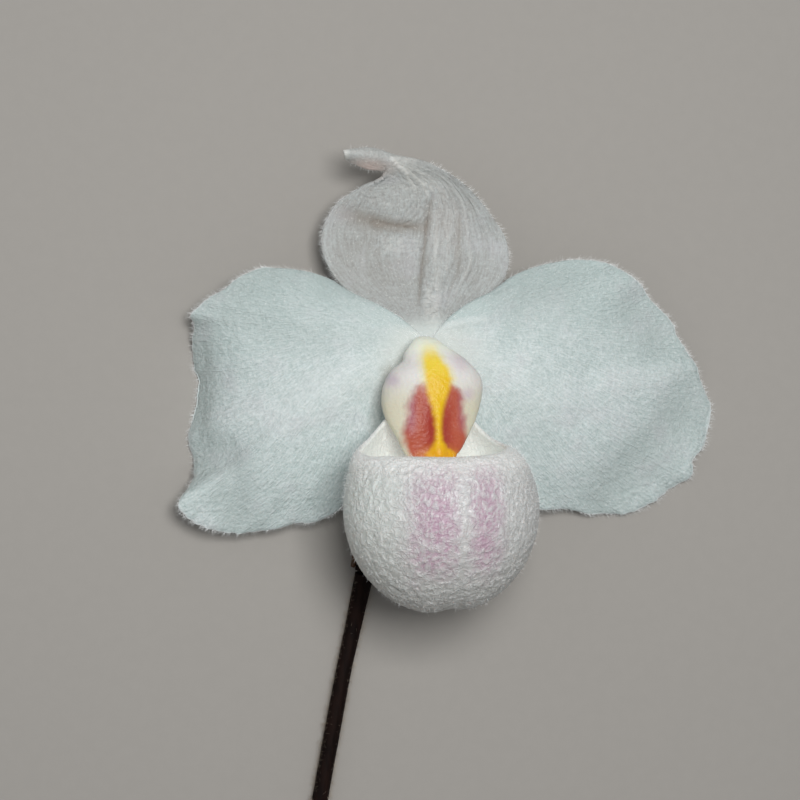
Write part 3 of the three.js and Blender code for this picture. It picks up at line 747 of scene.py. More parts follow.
# %% Press a sphere into a pouch
OUTER = 0.76  # the share of the sphere's rings that become the outside
WALL, RIM_WALL = 1.1, 0.8  # thickness in mm
bm = bmesh.new()
bmesh.ops.create_uvsphere(bm, u_segments=400, v_segments=222, radius=1)
mesh = as_mesh("pouch_fine", bm)
ball = points_of(mesh)
latitude = np.arccos(np.clip(-ball[:, 2], -1, 1)) / np.pi
turn = np.where(np.hypot(ball[:, 0], ball[:, 1]) < 1e-6, 0.0, np.arctan2(ball[:, 0], ball[:, 1]))
inside = latitude > OUTER
down = np.clip(np.where(inside, (1 - latitude) / (1 - OUTER), latitude / OUTER), 1e-4, 1)
skin, inwards = pouch_outside(down, turn), pouch_inwards(down, turn)
creases, bumps = pouch_relief(skin, down)
wall = lerp(WALL, RIM_WALL, smoothstep(0.8, 1, down))
rounding = np.sqrt(np.clip((1 - down) / 0.02, 0, 1))
outer_depth = lerp(wall / 2, 0, rounding) + WRINKLE_DEPTH * creases - bumps
depth = np.where(inside, lerp(wall / 2, wall, rounding), outer_depth)
bend(mesh, skin + inwards * depth[:, None])
keep(mesh, "crease", np.where(inside, 0, creases))
keep(mesh, "hollow", inside)
pouch = show("pouch_fine", mesh)
stand_in(pouch, "pouch")

# %% [markdown]
# ## The staminode
#
# Over the pouch's mouth hangs the staminode, a sterile stamen that has become a waxy shield. It is a
# sheet arched from side to side, with a groove down the middle of its lower half, and it is thick, so
# its margin is soft.

# %% Grow the staminode
STAMINODE_ROWS = [  # y, middle's x, half width, height of the middle, height of the side edges
    [0.9, -1.4, 0.6, 17.9, 17.5], [0.3, -1.3, 1.5, 19.0, 18.0], [-0.7, -1.1, 2.5, 20.0, 18.3],
    [-2.0, -0.55, 4.1, 21.0, 18.2], [-3.6, 0.3, 5.4, 21.8, 18.1], [-5.2, 0.2, 7.2, 22.3, 18.0],
    [-7.2, 0.05, 8.3, 22.7, 18.1], [-9.4, -0.35, 8.5, 23.0, 18.7], [-12.8, -0.75, 7.75, 23.4, 20.2],
    [-16.4, -0.75, 5.9, 24.2, 21.9], [-19.2, -0.95, 4.5, 25.0, 23.6], [-20.8, -0.95, 3.3, 25.4, 24.6],
]
STAMINODE_THICKNESS, STAMINODE_RIM = 1.6, 0.4
shield = thread(STAMINODE_ROWS, 1)


def staminode_shape(u, v):
    y, middle_x, half, middle, edge = shield(np.clip(u, 0, 1)).T
    across = (2 * np.clip(v, 0, 1) - 1) * np.pi / 2
    return np.stack([middle_x + half * np.sin(across), y, lerp(edge, middle, np.cos(across))], axis=1)


def staminode_relief(u, v, points):
    """A line down the middle of the lower half, a lobe on either side of it, and a fine grain."""
    lower = smoothstep(0.4, 0.75, u) * smoothstep(1.0, 0.93, u)
    line = -0.45 * lower * np.exp(-((points[:, 0] / 0.9) ** 2))
    lobes = 0.35 * lower * np.exp(-(((np.abs(points[:, 0]) - 2.6) / 1.8) ** 2))
    return line + lobes + 0.06 * grain(points, 1.6, 91) + 0.03 * grain(points, 0.6, 92)


def staminode_edge(u, v):
    """1 in the middle of the shield, falling to 0 at its margin along a quarter circle."""
    return np.sqrt(np.clip(np.minimum(np.minimum(v, 1 - v) / 0.12, np.minimum(u, 1 - u) / 0.08), 0, 1))


staminode = sheet("staminode_fine", raised(staminode_shape, staminode_relief, facing=-1), 110, 90)
two_skins(staminode, STAMINODE_THICKNESS, STAMINODE_RIM, staminode_edge)
stand_in(staminode, "staminode")

# %% [markdown]
# ## Round pieces: column, stigma, anthers
#
# Behind the staminode stands the column, which carries a broad stigma underneath and a fertile anther
# on each side. These are round and mostly hidden. The column is a cylinder from
# `bmesh.ops.create_cone`, cut into rings and bent along a curve that also gives its radius, and the
# beads are spheres with a few bumps. The collar, the white top of the ovary that the organs grow from,
# is a length of the same curve as the ovary.


# %% Tubes and beads
def across(along):
    """Two directions at right angles to the given ones: one as near to x as can be, and one upwards."""
    side = unit(np.array([1.0, 0, 0]) - along * along[:, :1])
    return side, np.cross(side, along)


def section(line, share, small=1e-3):
    """What a line says at each share, and the two directions across it."""
    along = unit(line(share + small)[:, :3] - line(share - small)[:, :3])
    return (line(share), *across(along))


def around(centre, side, up, reach, turn):
    """The points at a reach from the centres, turned from side towards up."""
    return centre[:, :3] + side * reach * np.cos(turn)[:, None] + up * reach * np.sin(turn)[:, None]


def lengthwise(bm):
    """The edges that run along z."""
    return [edge for edge in bm.edges if abs(edge.verts[0].co.z - edge.verts[1].co.z) > 0.5]


def tube(name, rows, sides, rings, start=0.0, end=1.0, relief=None):
    """A cylinder bent along rows of x, y, z and radius, from one share of the curve to another."""
    bm = bmesh.new()
    bmesh.ops.create_cone(bm, cap_ends=True, segments=sides, radius1=1, radius2=1, depth=1)
    bmesh.ops.subdivide_edges(bm, edges=lengthwise(bm), cuts=rings)
    caps = [face for face in bm.faces if len(face.verts) > 4]
    bmesh.ops.inset_region(bm, faces=caps, thickness=0.12)
    bmesh.ops.triangulate(bm, faces=[face for face in bm.faces if len(face.verts) > 4])
    mesh = as_mesh(name, bm)
    round_ = points_of(mesh)
    share = lerp(start, end, 0.5 - round_[:, 2])
    centre, side, up = section(thread(rows), share)
    turn = np.arctan2(round_[:, 1], round_[:, 0])
    radius = centre[:, 3] + (relief(share, turn, centre[:, :3]) if relief else 0)
    reach = (np.hypot(round_[:, 0], round_[:, 1]) * radius)[:, None]
    points = around(centre, side, up, reach, turn)
    points[:, 2] = np.maximum(points[:, 2], 0)
    bend(mesh, points)
    return show(name, mesh)


def bead(name, centre, half, seed):
    """A small rounded body with a few bumps."""
    bm = bmesh.new()
    bmesh.ops.create_uvsphere(bm, u_segments=40, v_segments=24, radius=1)
    mesh = as_mesh(name, bm)
    ball = points_of(mesh)
    bend(mesh, np.array(centre) + ball * half * (1 + 0.12 * grain(ball * 3, 1.6, seed))[:, None])
    return show(name, mesh)


print("tubes follow a curve, beads are spheres")

# %% Column, collar, stigma and anthers
COLUMN = [[-0.3, -0.6, 11.6, 1.7], [-0.3, -0.7, 15.2, 1.5], [-0.4, -2.1, 16.7, 1.6], [0, -4.8, 18.3, 1.8]]
OVARY = [
    [0, 0, 14.0, 3.4], [0, 0, 11.6, 3.2], [-0.9, -3.8, 8.0, 2.5], [-2.8, -12, 6.0, 2.3],
    [-5.6, -23, 4.5, 2.3], [-8.1, -33, 3.7, 2.1], [-10.1, -42, 3.0, 1.8],
]
COLLAR_SPAN = (0.055, 0.125)  # the part of the ovary's curve that is the collar
ANTHER_HALF = (1.35, 1.7, 1.3)
collar = tube("collar_fine", OVARY, 48, 14, *COLLAR_SPAN, lambda s, t, p: 0.06 * np.cos(6 * t))
column = tube("column_fine", COLUMN, 40, 24, relief=lambda s, t, p: 0.08 * np.cos(4 * t) * s)
stigma = bead("stigma_fine", (0, -7.1, 18.1), (2.4, 1.5, 1.4), 101)
anther_left = bead("anther_left_fine", (-3.65, -4.2, 16.9), ANTHER_HALF, 102)
anther_right = bead("anther_right_fine", (3.55, -4.2, 16.9), ANTHER_HALF, 103)
for piece, node, slot in (
    (collar, "collar", "petal"), (column, "column", "column"), (stigma, "stigma", "column"),
    (anther_left, "anther_left", "anther"), (anther_right, "anther_right", "anther"),
):
    stand_in(piece, node)

# %% [markdown]
# ## Ovary, bract and stem
#
# The ovary is a slender six-ribbed pod behind the bloom, half wrapped by a bract at its foot, and the
# cut stem runs on from there along the surface. They are dark, so they read as a line below the white
# flower. Ovary and stem are tubes with ribs and a fine grain; the bract is a sheet wrapped round the
# ovary from below.

# %% Ovary and stem
STEM_Z = 1.4
STEM = [
    [-10.2, -42.4, 2.9, 1.75], [-11.3, -48, 2.0, 1.6], [-12.3, -53, 1.55, 1.5], [-13.4, -58, STEM_Z, 1.45],
    [-16.1, -72, STEM_Z, 1.45], [-19.0, -88, STEM_Z, 1.45], [-21.2, -101, STEM_Z, 1.45],
    [-22.0, -107.1, STEM_Z, 1.45],
]


def ovary_relief(share, turn, points):
    return 0.16 * np.cos(6 * turn) + 0.05 * grain(points, (0.8, 2.5, 0.8), 111)


def stem_relief(share, turn, points):
    return 0.03 * np.cos(9 * turn + 3 * share) + 0.04 * grain(points, (0.7, 3.5, 0.7), 112)


ovary = tube("ovary_fine", OVARY, 48, 90, 0.13, 1.0, ovary_relief)
stem = tube("stem_fine", STEM, 32, 150, relief=stem_relief)
for piece, node in ((ovary, "ovary"), (stem, "stem")):
    stand_in(piece, node)

# %% Bract
BRACT_SPAN = (0.99, 0.68)  # from its foot to its tip, as shares of the ovary's curve
FOOT_WRAP, TIP_WRAP = np.radians(112), np.radians(9)  # how far it reaches round to each side
BRACT_GAP, BRACT_FLARE = 0.75, 0.35  # how far it stands off the ovary, and how much further at its tip


def bract_shape(u, v):
    u, v = np.clip(u, 0, 1), np.clip(v, 0, 1)
    line = thread(OVARY)
    share = lerp(*BRACT_SPAN, u)
    centre = line(share)
    side, down = across(unit(centre[:, :3] - line(share - 1e-3)[:, :3]))
    turn = -np.pi / 2 + (2 * v - 1) * lerp(FOOT_WRAP, TIP_WRAP, u**1.6)
    reach = (centre[:, 3] + BRACT_GAP + BRACT_FLARE * u)[:, None]
    return around(centre, side, -down, reach, turn)


def bract_relief(u, v, points):
    return 0.05 * np.cos(2 * np.pi * 13 * v) + 0.08 * grain(points, 2.2, 121)


bract = two_skins(sheet("bract_fine", raised(bract_shape, bract_relief), 60, 70), thickness=0.5)
stand_in(bract, "bract")

# %% [markdown]
# ## Hairs
#
# The whole flower is softly hairy: a fringe of white hairs a millimetre or so long along every margin,
# short wool on the petals round the hub, a down on the pouch, and a coat of tan hairs on the dark stem,
# where they show most. Blender has hair curves, but only real mesh comes through an export, so each
# hair is a thin three-sided spike. One spike is made with bmesh operators, and its points are copied to
# every root by numpy, leaned, bent and scaled at random. The random numbers are seeded.


# %% One spike, planted many times
def spike():
    """A three-sided tapering spike, one long, as arrays of points and faces."""
    bm = bmesh.new()
    bmesh.ops.create_cone(bm, cap_ends=True, segments=3, radius1=1, radius2=0.15, depth=1)
    bmesh.ops.translate(bm, verts=bm.verts, vec=(0, 0, 0.5))
    bmesh.ops.subdivide_edges(bm, edges=lengthwise(bm), cuts=1)
    bm.verts.index_update()
    points = np.array([vert.co[:] for vert in bm.verts])
    faces = [[vert.index for vert in face.verts] for face in bm.faces]
    bm.free()
    return points, faces


SPIKE_POINTS, SPIKE_FACES = spike()
LOWEST_HAIR = 0.03  # hairs stay this far above the surface that the flower lies on, in mm


def planted(name, roots, directions, lengths, radius, rng, curl=0.25):
    """One mesh of spikes, one on each root."""
    count = len(roots)
    aim = unit(directions)
    first = unit(np.cross(aim, unit(rng.normal(size=(count, 3)))))
    second = np.cross(aim, first)
    x, y, z = SPIKE_POINTS.T
    lengths = lengths[:, None, None]
    points = (
        roots[:, None, :]
        + aim[:, None, :] * z[:, None] * lengths
        + first[:, None, :] * (x[:, None] * radius + curl * lengths * (z**2)[:, None])
        + second[:, None, :] * y[:, None] * radius
    )
    points[..., 2] = np.maximum(points[..., 2], LOWEST_HAIR)
    step = len(SPIKE_POINTS)
    faces = [[index + k * step for index in face] for k in range(count) for face in SPIKE_FACES]
    mesh = bpy.data.meshes.new(name)
    mesh.from_pydata(in_frame(points.reshape(-1, 3)).tolist(), [], faces)
    mesh.update()
    mesh.shade_smooth()
    piece = show(name, mesh)
    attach(piece, "root")
    print(name, count, "hairs,", len(faces), "faces")
    return piece


print("one spike has", len(SPIKE_POINTS), "points and", len(SPIKE_FACES), "faces")

# %% Fringes and wool
FINE_HAIR, WOOL_HAIR = 0.022, 0.032  # radius in mm


def fringe(name, shape, shares, inwards, length, seed, facing=1, radius=FINE_HAIR):
    """Hairs at the given shares of a sheet, pointing away from the places that inwards gives."""
    rng = np.random.default_rng(seed)
    u, v = shares(rng)
    roots = shape(u, v)
    outwards = unit(roots - shape(*inwards(u, v)))
    faces_up = facing * normals(shape, np.clip(u, 0.002, 0.998), np.clip(v, 0.002, 0.998))
    lean = rng.normal(0, 0.45, (len(u), 1))
    directions = outwards + faces_up * (0.15 + lean) + 0.35 * rng.normal(size=roots.shape)
    return planted(name, roots, directions, rng.uniform(0.5, 1, len(u)) * length, radius, rng)


def wool(name, shape, count, seed, facing):
    """Short hairs that lie on a petal's face round the hub and point outwards along its veins."""
    rng = np.random.default_rng(seed)
    u, v = 0.03 + 0.4 * rng.random(count) ** 1.4, rng.uniform(0.0, 0.8, count)
    roots, upwards = shape(u, v), facing * normals(shape, u, v)
    along = unit(shape(u + 0.01, v) - roots)
    directions = along + 0.25 * upwards + 0.3 * rng.normal(size=roots.shape)
    lengths = rng.uniform(0.3, 0.9, count)
    return planted(name, roots + 0.3 * upwards, directions, lengths, WOOL_HAIR, rng, curl=0.1)


print("hairs lean away from the flesh")


# %% Where the fringes stand
def on_petal(rng, count=1100):
    v = rng.uniform(0.004, 0.996, count)
    return 1 - 0.012 * rng.random(count) ** 2, v


def on_sepal(rng, count=900):
    u = rng.uniform(0.12, 0.985, count)
    return u, np.where(rng.random(count) < 0.5, 0.004, 0.996)


def on_upper_edge(rng, count=500):
    return rng.uniform(0.01, 0.75, count), rng.uniform(0.001, 0.03, count)


def on_top(rng, count=600):
    return rng.uniform(0.001, 0.12, count), rng.uniform(0.02, 0.98, count)


def towards_hub(u, v):
    return u - 0.03, v


def towards_middle(u, v):
    return u, lerp(v, 0.5, 0.12)


def off_upper_edge(u, v):
    return u, v + 0.06


def off_top(u, v):
    return u + 0.1, v


hairs = [
    fringe("hairs_base_right", right_shape, on_upper_edge, off_upper_edge, 0.9, 205, -1),
    fringe("hairs_base_left", left_shape, on_upper_edge, off_upper_edge, 0.9, 206, 1),
    wool("hairs_wool_right", right_shape, 1100, 207, -1),
    wool("hairs_wool_left", left_shape, 1100, 208, 1),
    fringe("hairs_staminode", staminode_shape, on_top, off_top, 1.0, 209, -1, 0.028),
    fringe("hairs_petal_right", on_the_surface(right_shape), on_petal, towards_hub, 1.25, 201, -1),
    fringe("hairs_petal_left", on_the_surface(left_shape), on_petal, towards_hub, 1.25, 202, 1),
    fringe("hairs_dorsal_sepal", dorsal_shape, on_sepal, towards_middle, 1.2, 203, -1),
    fringe("hairs_synsepal", synsepal_shape, on_sepal, towards_middle, 1.1, 204, -1),
]

# %% Down on the pouch, coat on the stem
COAT_HAIR = 0.018  # radius in mm


def pouch_down(count, seed):
    """Short hairs all over the outer skin of the pouch."""
    rng = np.random.default_rng(seed)
    down = np.sqrt(rng.random(count)) * 0.93 + 0.01
    turn = rng.uniform(-np.pi, np.pi, count)
    outwards = -pouch_inwards(down, turn)
    directions = outwards + 0.5 * rng.normal(size=outwards.shape)
    lengths = rng.uniform(0.3, 0.85, count)
    return planted("hairs_pouch", pouch_outside(down, turn), directions, lengths, FINE_HAIR, rng)


def coat(name, rows, radius_out, start, end, count, length, seed):
    """Hairs that stand out from a tube, most of them to its two sides, where they show."""
    rng = np.random.default_rng(seed)
    centre, side, up = section(thread(rows), rng.uniform(start, end, count))
    turn = (rng.choice([0, np.pi], count) + rng.normal(0, 0.4, count))[:, None]
    outwards = side * np.cos(turn) + up * np.sin(turn)
    roots = centre[:, :3] + outwards * (centre[:, 3:] * radius_out)
    directions = outwards + 0.3 * rng.normal(size=outwards.shape)
    return planted(name, roots, directions, rng.uniform(0.55, 1, count) * length, COAT_HAIR, rng)


hairs += [
    pouch_down(2600, 211),
    coat("hairs_stem", STEM, 0.97, 0.01, 0.995, 2300, 1.25, 212),
    coat("hairs_ovary", OVARY, 0.98, 0.15, 0.97, 1100, 1.0, 213),
    coat("hairs_hub", COLUMN, 0.95, 0.02, 0.45, 260, 0.9, 214),
]
dark_coat = [piece for piece in hairs if piece.name in ("hairs_stem", "hairs_ovary")]

# %% [markdown]
# ## Shader arithmetic
#
# Materials are built from nodes, and a formula of ten Math nodes is hard to read. So one small class
# wraps a socket and overloads Python's operators: `1 - mask * 0.5` adds the Math nodes by itself. Any
# other node comes from one method, which takes the node's type, its inputs and its settings.


# %% A socket that can do arithmetic
class Wire:
    def __init__(self, tree, socket=None):
        self.tree, self.socket = tree, socket

    def node(self, kind, inputs=None, output=0, stops=None, **settings):
        made = self.tree.nodes.new(kind)
        for key, value in settings.items():
            setattr(made, key, value)
        if stops:
            ramp = made.color_ramp
            ramp.elements[0].position, ramp.elements[1].position = stops[0][0], stops[-1][0]
            for place, colour in stops[1:-1]:
                ramp.elements.new(place)
            for element, (place, colour) in zip(ramp.elements, stops):
                element.color = (*colour, 1)
        for key, value in (inputs or {}).items():
            if isinstance(value, Wire):
                self.tree.links.new(value.socket, made.inputs[key])
            else:
                made.inputs[key].default_value = value
        return Wire(self.tree, made.outputs[output])

    def math(self, operation, a, b=0.0):
        return self.node("ShaderNodeMath", {0: a, 1: b}, operation=operation)

    def __add__(self, other):
        return self.math("ADD", self, other)

    def __sub__(self, other):
        return self.math("SUBTRACT", self, other)

    def __rsub__(self, other):
        return self.math("SUBTRACT", other, self)

    def __mul__(self, other):
        return self.math("MULTIPLY", self, other)

    def __truediv__(self, other):
        return self.math("DIVIDE", self, other)

    def __abs__(self):
        return self.math("ABSOLUTE", self)

    __radd__, __rmul__ = __add__, __mul__

    def larger(self, other):
        return self.math("MAXIMUM", self, other)

    def between(self, low, high):
        """0 below low, 1 above high, smooth between them. low may be the larger one."""
        inputs = {"Value": self, "From Min": low, "From Max": high}
        return self.node("ShaderNodeMapRange", inputs, interpolation_type="SMOOTHSTEP")

    def mix(self, a, b):
        """Colour a where this is 0 and colour b where it is 1."""
        inputs = {0: self, 6: a, 7: b}
        return self.node("ShaderNodeMix", inputs, output=2, data_type="RGBA", clamp_factor=True)

    def noise(self, scale, detail, roughness=0.5, distortion=0.0):
        """Noise round 0.5, read at this place, with about scale bumps to the metre."""
        inputs = {"Vector": self, "Scale": scale, "Detail": detail}
        inputs |= {"Roughness": roughness, "Distortion": distortion}
        return self.node("ShaderNodeTexNoise", inputs)

    def bump(self, strength, distance):
        """The normal of a surface that has this as its height."""
        return self.node("ShaderNodeBump", {"Height": self, "Strength": strength, "Distance": distance})


print("wires can be added, subtracted, multiplied, divided, mixed and bumped")


# %% Colours and places
def linear(level):
    share = level / 255
    return share / 12.92 if share <= 0.04045 else ((share + 0.055) / 1.055) ** 2.4


def rgb(red, green, blue):
    """A colour picked on a screen, in linear light."""
    return (linear(red), linear(green), linear(blue), 1.0)


def finish(name):
    """A new material, a start for its wires, and a function that plugs values into its Principled shader."""
    made = bpy.data.materials.new(name)
    made.use_nodes = True
    shader = made.node_tree.nodes["Principled BSDF"]

    def plug(**inputs):
        for key, value in inputs.items():
            socket = shader.inputs[key.replace("_", " ")]
            if isinstance(value, Wire):
                made.node_tree.links.new(value.socket, socket)
            else:
                socket.default_value = value

    return made, Wire(made.node_tree), plug


def parts(wire, vector, count):
    """The first parts of a vector, each as a wire."""
    return [wire.node("ShaderNodeSeparateXYZ", {"Vector": vector}, output=axis) for axis in range(count)]


def millimetres(wire):
    """Object coordinates, then x, y and z in millimetres from the flower's axis."""
    place = wire.node("ShaderNodeTexCoord", output="Object")
    x, y, z = (part * 1000 for part in parts(wire, place, 3))
    return place, x - FLOWER_AT[0], y - FLOWER_AT[1], z


def kept_number(wire, name):
    """The number that was kept on the mesh under a name."""
    return wire.node("ShaderNodeAttribute", output=2, attribute_name=name)


def ring(x, y, at_x, at_y, wide, high):
    """The distance from a place, which is 1 on an ellipse with the given half sizes."""
    away_x, away_y = (x - at_x) / wide, (y - at_y) / high
    square = away_x * away_x + away_y * away_y
    return square.math("SQRT", square)


def dabbed(colour, x, y, dabs):
    """The colour with soft dabs on it: each has its place, its half sizes, its share and its tint."""
    for at_x, at_y, wide, high, share, tint in dabs:
        colour = (ring(x, y, at_x, at_y, wide, high).between(1, 0) * share).mix(colour, tint)
    return colour


BLACK = rgb(0, 0, 0)
WHITE_FLESH = (1.0, 0.9, 0.85)  # how far red, green and blue sink into pale flesh, next to each other
print("white as picked:", [round(c, 3) for c in rgb(230, 235, 233)])

# %% [markdown]
# ## The velvet of petals and sepals
#
# The petals are a cool white with a bloom like fine wool: every cell of the skin is a tiny bump.
# Streaks along the growth, fine fibres, soft clouds and a net of cells tint the colour a little, and
# raise a Bump node a lot. Shade is painted into the folds and towards the upper edge and the margin,
# highlights on the crests, along the rim and as scattered glints, and on the left petal the staminode's
# shadow beside it. The light sinks into the flesh a little and comes out softened, which is subsurface
# scattering, and grazing light catches the down, which is sheen.


# %% Velvet
def velvet(name, light, shade, painted_highlight, deep, base, root, upper, outer, contrast, veins, calm, dabs):
    """A woolly white, with light and shade in its fibres.

    base lies at the root, deep is painted shade in the valleys, and the highlight colour is painted on the
    crests, the rim and scattered glints. upper and outer say how much painted shade gathers towards the upper
    edge and the margin, contrast how strongly the valleys show, veins how fine the streaks are, and calm how
    soon they fade towards the tip.
    """
    made, wire, plug = finish(name)
    place, x, y, _ = millimetres(wire)
    growth = wire.node("ShaderNodeUVMap", uv_map="growth")
    u, v = parts(wire, growth, 2)
    valley = kept_number(wire, "valley")
    fibres = place.noise(2300, 3, roughness=0.65)
    clouds = place.noise(160, 3)
    net = wire.node("ShaderNodeTexVoronoi", {"Vector": place, "Scale": 620}, feature="DISTANCE_TO_EDGE")
    net = net.between(0.25, 0.0)
    spread = wire.node("ShaderNodeMapping", {"Vector": growth, "Scale": veins})
    streaks = (spread.noise(1, 2, distortion=0.6) - 0.5) * u.between(1.0, calm) + 0.5
    wool = streaks.between(0.38, 0.62) * 0.5 + fibres.between(0.38, 0.62) * 0.5
    tone = wool * 0.7 + clouds.between(0.35, 0.65) * 0.2 + net * 0.1
    colour = tone.mix(shade, light)
    # painted shade: darker towards the upper edge and the margin
    colour = (v.between(0.5, 0.05) * upper + u.between(0.3, 1.0) * outer).mix(colour, shade)
    # painted shade in the valleys and on the darker marks
    colour = (valley * contrast).mix(colour, deep)
    # painted highlights on the crests and on the paler marks
    colour = (valley * (-0.6 * contrast)).mix(colour, painted_highlight)
    colour = u.between(root, root * 0.2).mix(colour, base)
    colour = (clouds.between(0.5, 0.75) * 0.25).mix(colour, MAUVE_GREY)
    colour = dabbed(colour, x, y, dabs)
    # painted glints, and a painted highlight along the rim
    painted_glints = place.noise(2600, 1).between(0.64, 0.74)
    colour = (painted_glints * 0.4 + u.between(0.975, 0.995) * 0.6).mix(colour, painted_highlight)
    height = fibres * 0.6 + streaks * u.between(0.0, 0.8) * 1.1 + net * 0.15 + clouds * 0.3
    plug(
        Base_Color=colour, Roughness=0.62 - fibres * 0.2, Normal=height.bump(0.85, 0.0003),
        Subsurface_Weight=0.25, Subsurface_Radius=WHITE_FLESH, Subsurface_Scale=0.0012,
        Sheen_Weight=0.06, Sheen_Roughness=0.4,
    )
    return made


MAUVE_GREY, HUB_WHITE = rgb(206, 203, 208), rgb(222, 229, 225)
# the first colour is the staminode's shadow painted on the petal, the second a pink blush
PAINTED_SHADOW, BLUSH = rgb(160, 151, 137), rgb(220, 196, 186)
petal_white = velvet(
    "petal_white", rgb(237, 246, 245), rgb(190, 206, 203), rgb(248, 252, 251), rgb(186, 198, 195), HUB_WHITE,
    root=0.18, upper=0.5, outer=0.18, contrast=0.5, veins=(27, 210, 1), calm=0.97,
    # painted shadow of the staminode on the left petal, along its left edge
    dabs=[
        (-7.0, -5.4, 3.0, 3.2, 0.4, PAINTED_SHADOW), (-8.8, -9.5, 2.8, 4.4, 0.15, PAINTED_SHADOW),
        (-9.4, -13.8, 2.4, 4.2, 0.25, PAINTED_SHADOW),
    ],
)
sepal_white = velvet(
    "sepal_white", rgb(198, 204, 202), rgb(168, 167, 164), rgb(234, 234, 228), rgb(154, 147, 138), HUB_WHITE,
    root=0.12, upper=0.0, outer=0.0, contrast=1.5, veins=(20, 100, 1), calm=0.45,
    dabs=[(-11.0, 31.2, 7.0, 2.6, 0.65, BLUSH), (4.0, 22.0, 7.0, 9.0, 0.1, BLUSH)],
)
for piece in (petal_right, petal_left, collar, column):
    piece.data.materials.append(petal_white)
for piece in (dorsal, synsepal):
    piece.data.materials.append(sepal_white)
print("velvet on the petals and sepals")

# %% [markdown]
# ## The pouch's skin
#
# The pouch is a warmer white. Two bands of pink run down its front on either side of a paler stripe,
# with a fainter blush between and beside them, and the pink sits in the creases, while the ridges
# between them stay white. The bands are masks made from Object coordinates, because they follow the
# pouch and not its wrinkles; the creases come from the attribute that was kept above. Shade is painted
# into the creases and towards the bottom, and light onto the left side, the band under the rim and the
# worm-like ridges. Light shines through the thin wall and lights the hollow and the rim, which a little
# emission stands for: a painted glow.

# %% Where the pouch blushes
made, wire, plug = finish("pouch_skin")
place, x, y, z = millimetres(wire)
crease = kept_number(wire, "crease").between(0.1, 0.9)
hollow = kept_number(wire, "hollow")
drift = place.noise(300, 3) - 0.5
left_band = abs(x + 2.6 + drift * 5).between(7.5, 0.5)
right_band = abs(x - 5.3 + drift * 4).between(5.0, 0.4)
faint_band = abs(x - 1.5 + drift * 5).between(9.5, 3.0) * 0.45
upper_end = (y + drift * 4).between(-17.0, -25.0)
lower_end = (y + drift * 7).between(-43.0, -34.0)
stripe = 1 - abs(x - 1.6 + drift * 2).between(1.3, 0.2) * y.between(-22.0, -27.0) * 0.6
front = z.between(26.0, 33.0)
band = left_band.larger(right_band).larger(faint_band) * upper_end * lower_end * stripe * front
print("two bands and a fainter one")

# %% Blushing skin
fibres = place.noise(2000, 3, roughness=0.6)
worms = abs(place.noise(800, 2, distortion=0.8) - 0.5).between(0.09, 0.0)
# painted shade: greyer in the creases; the fibres are the skin's own grain
skin = (crease * 0.4 + fibres.between(0.3, 0.7) * 0.2).mix(rgb(224, 226, 225), rgb(190, 188, 186))
# painted light: paler on the left side
skin = (x.between(-4.0, -15.0) * 0.6).mix(skin, rgb(238, 246, 240))
# painted light: a pale band just under the rim
skin = (y.between(-24.5, -19.5) * 0.9).mix(skin, rgb(246, 246, 243))
# painted shade: darker towards the bottom
skin = (y.between(-24.0, -42.0) * 0.6).mix(skin, rgb(184, 184, 178))
# painted highlights along the worm-like ridges
skin = (worms * 0.4).mix(skin, rgb(246, 246, 244))
pink = band * (crease * 0.5 + 0.25) * (y.between(-20.0, -30.0) * 0.4 + 0.6)
colour = hollow.mix(pink.mix(skin, rgb(198, 154, 180)), rgb(226, 229, 224))
# painted glow: the band under the rim and the hollow glow a little
rim_glow = y.between(-22.5, -19.5) * 0.25
lit_hollow = hollow * (y.between(-38.0, -22.0) * 0.5 + 0.5)
plug(
    Base_Color=colour, Roughness=0.3 + crease * 0.18, Normal=(fibres * 0.4 + worms * 0.8).bump(0.7, 0.0002),
    Subsurface_Weight=0.5, Subsurface_Radius=WHITE_FLESH, Subsurface_Scale=0.0012,
    Sheen_Weight=0.03, Sheen_Roughness=0.4,
    Emission_Color=lit_hollow.larger(rim_glow).mix(BLACK, rgb(244, 248, 246)), Emission_Strength=0.2,
)
pouch.data.materials.append(made)
print("skin on the pouch:", len(made.node_tree.nodes), "nodes")

# %% [markdown]
# ## The staminode's signal
#
# The staminode is the flower's signpost. A yellow stripe runs down its middle between two orange-red
# patches, which turn purplish at their outer edges, and the rest is cream with a few lilac dabs. Each
# colour is a mask with a soft border, placed in millimetres, and a noise smears all the borders
# together. The skin is waxy, with a low, soft shine.

# %% Where the stripe and the patches lie
LOWER_END = -21.0
STRIPE = [  # y, the yellow stripe's half width, and where its middle lies
    (-19.4, 2.7, 0.35), (-18.3, 1.3, 0.0), (-17.0, 0.6, 0.0), (-15.3, 0.45, 0.0), (-13.6, 0.65, 0.0),
    (-11.8, 0.95, 0.0), (-10.0, 1.5, 0.0), (-8.3, 2.0, 0.15), (-6.2, 2.3, 0.3), (-4.4, 2.0, -0.1),
    (-2.8, 1.5, -0.75), (-1.2, 0.8, -1.1),
]
PATCHES = [  # y, and how far the red patches reach sideways
    (-20.8, 4.2), (-19.4, 5.0), (-18.0, 5.6), (-16.0, 5.7), (-13.0, 5.5), (-10.0, 4.9),
    (-8.4, 4.2), (-7.0, 2.8),
]


def along_y(wire, y, rows, most):
    """A number from 0 to most that changes with y, from rows of y and the number."""
    stops = [(1 - at / LOWER_END, (value / most,) * 3) for at, value in rows]
    return wire.node("ShaderNodeValToRGB", {"Fac": 1 - y / LOWER_END}, stops=stops) * most


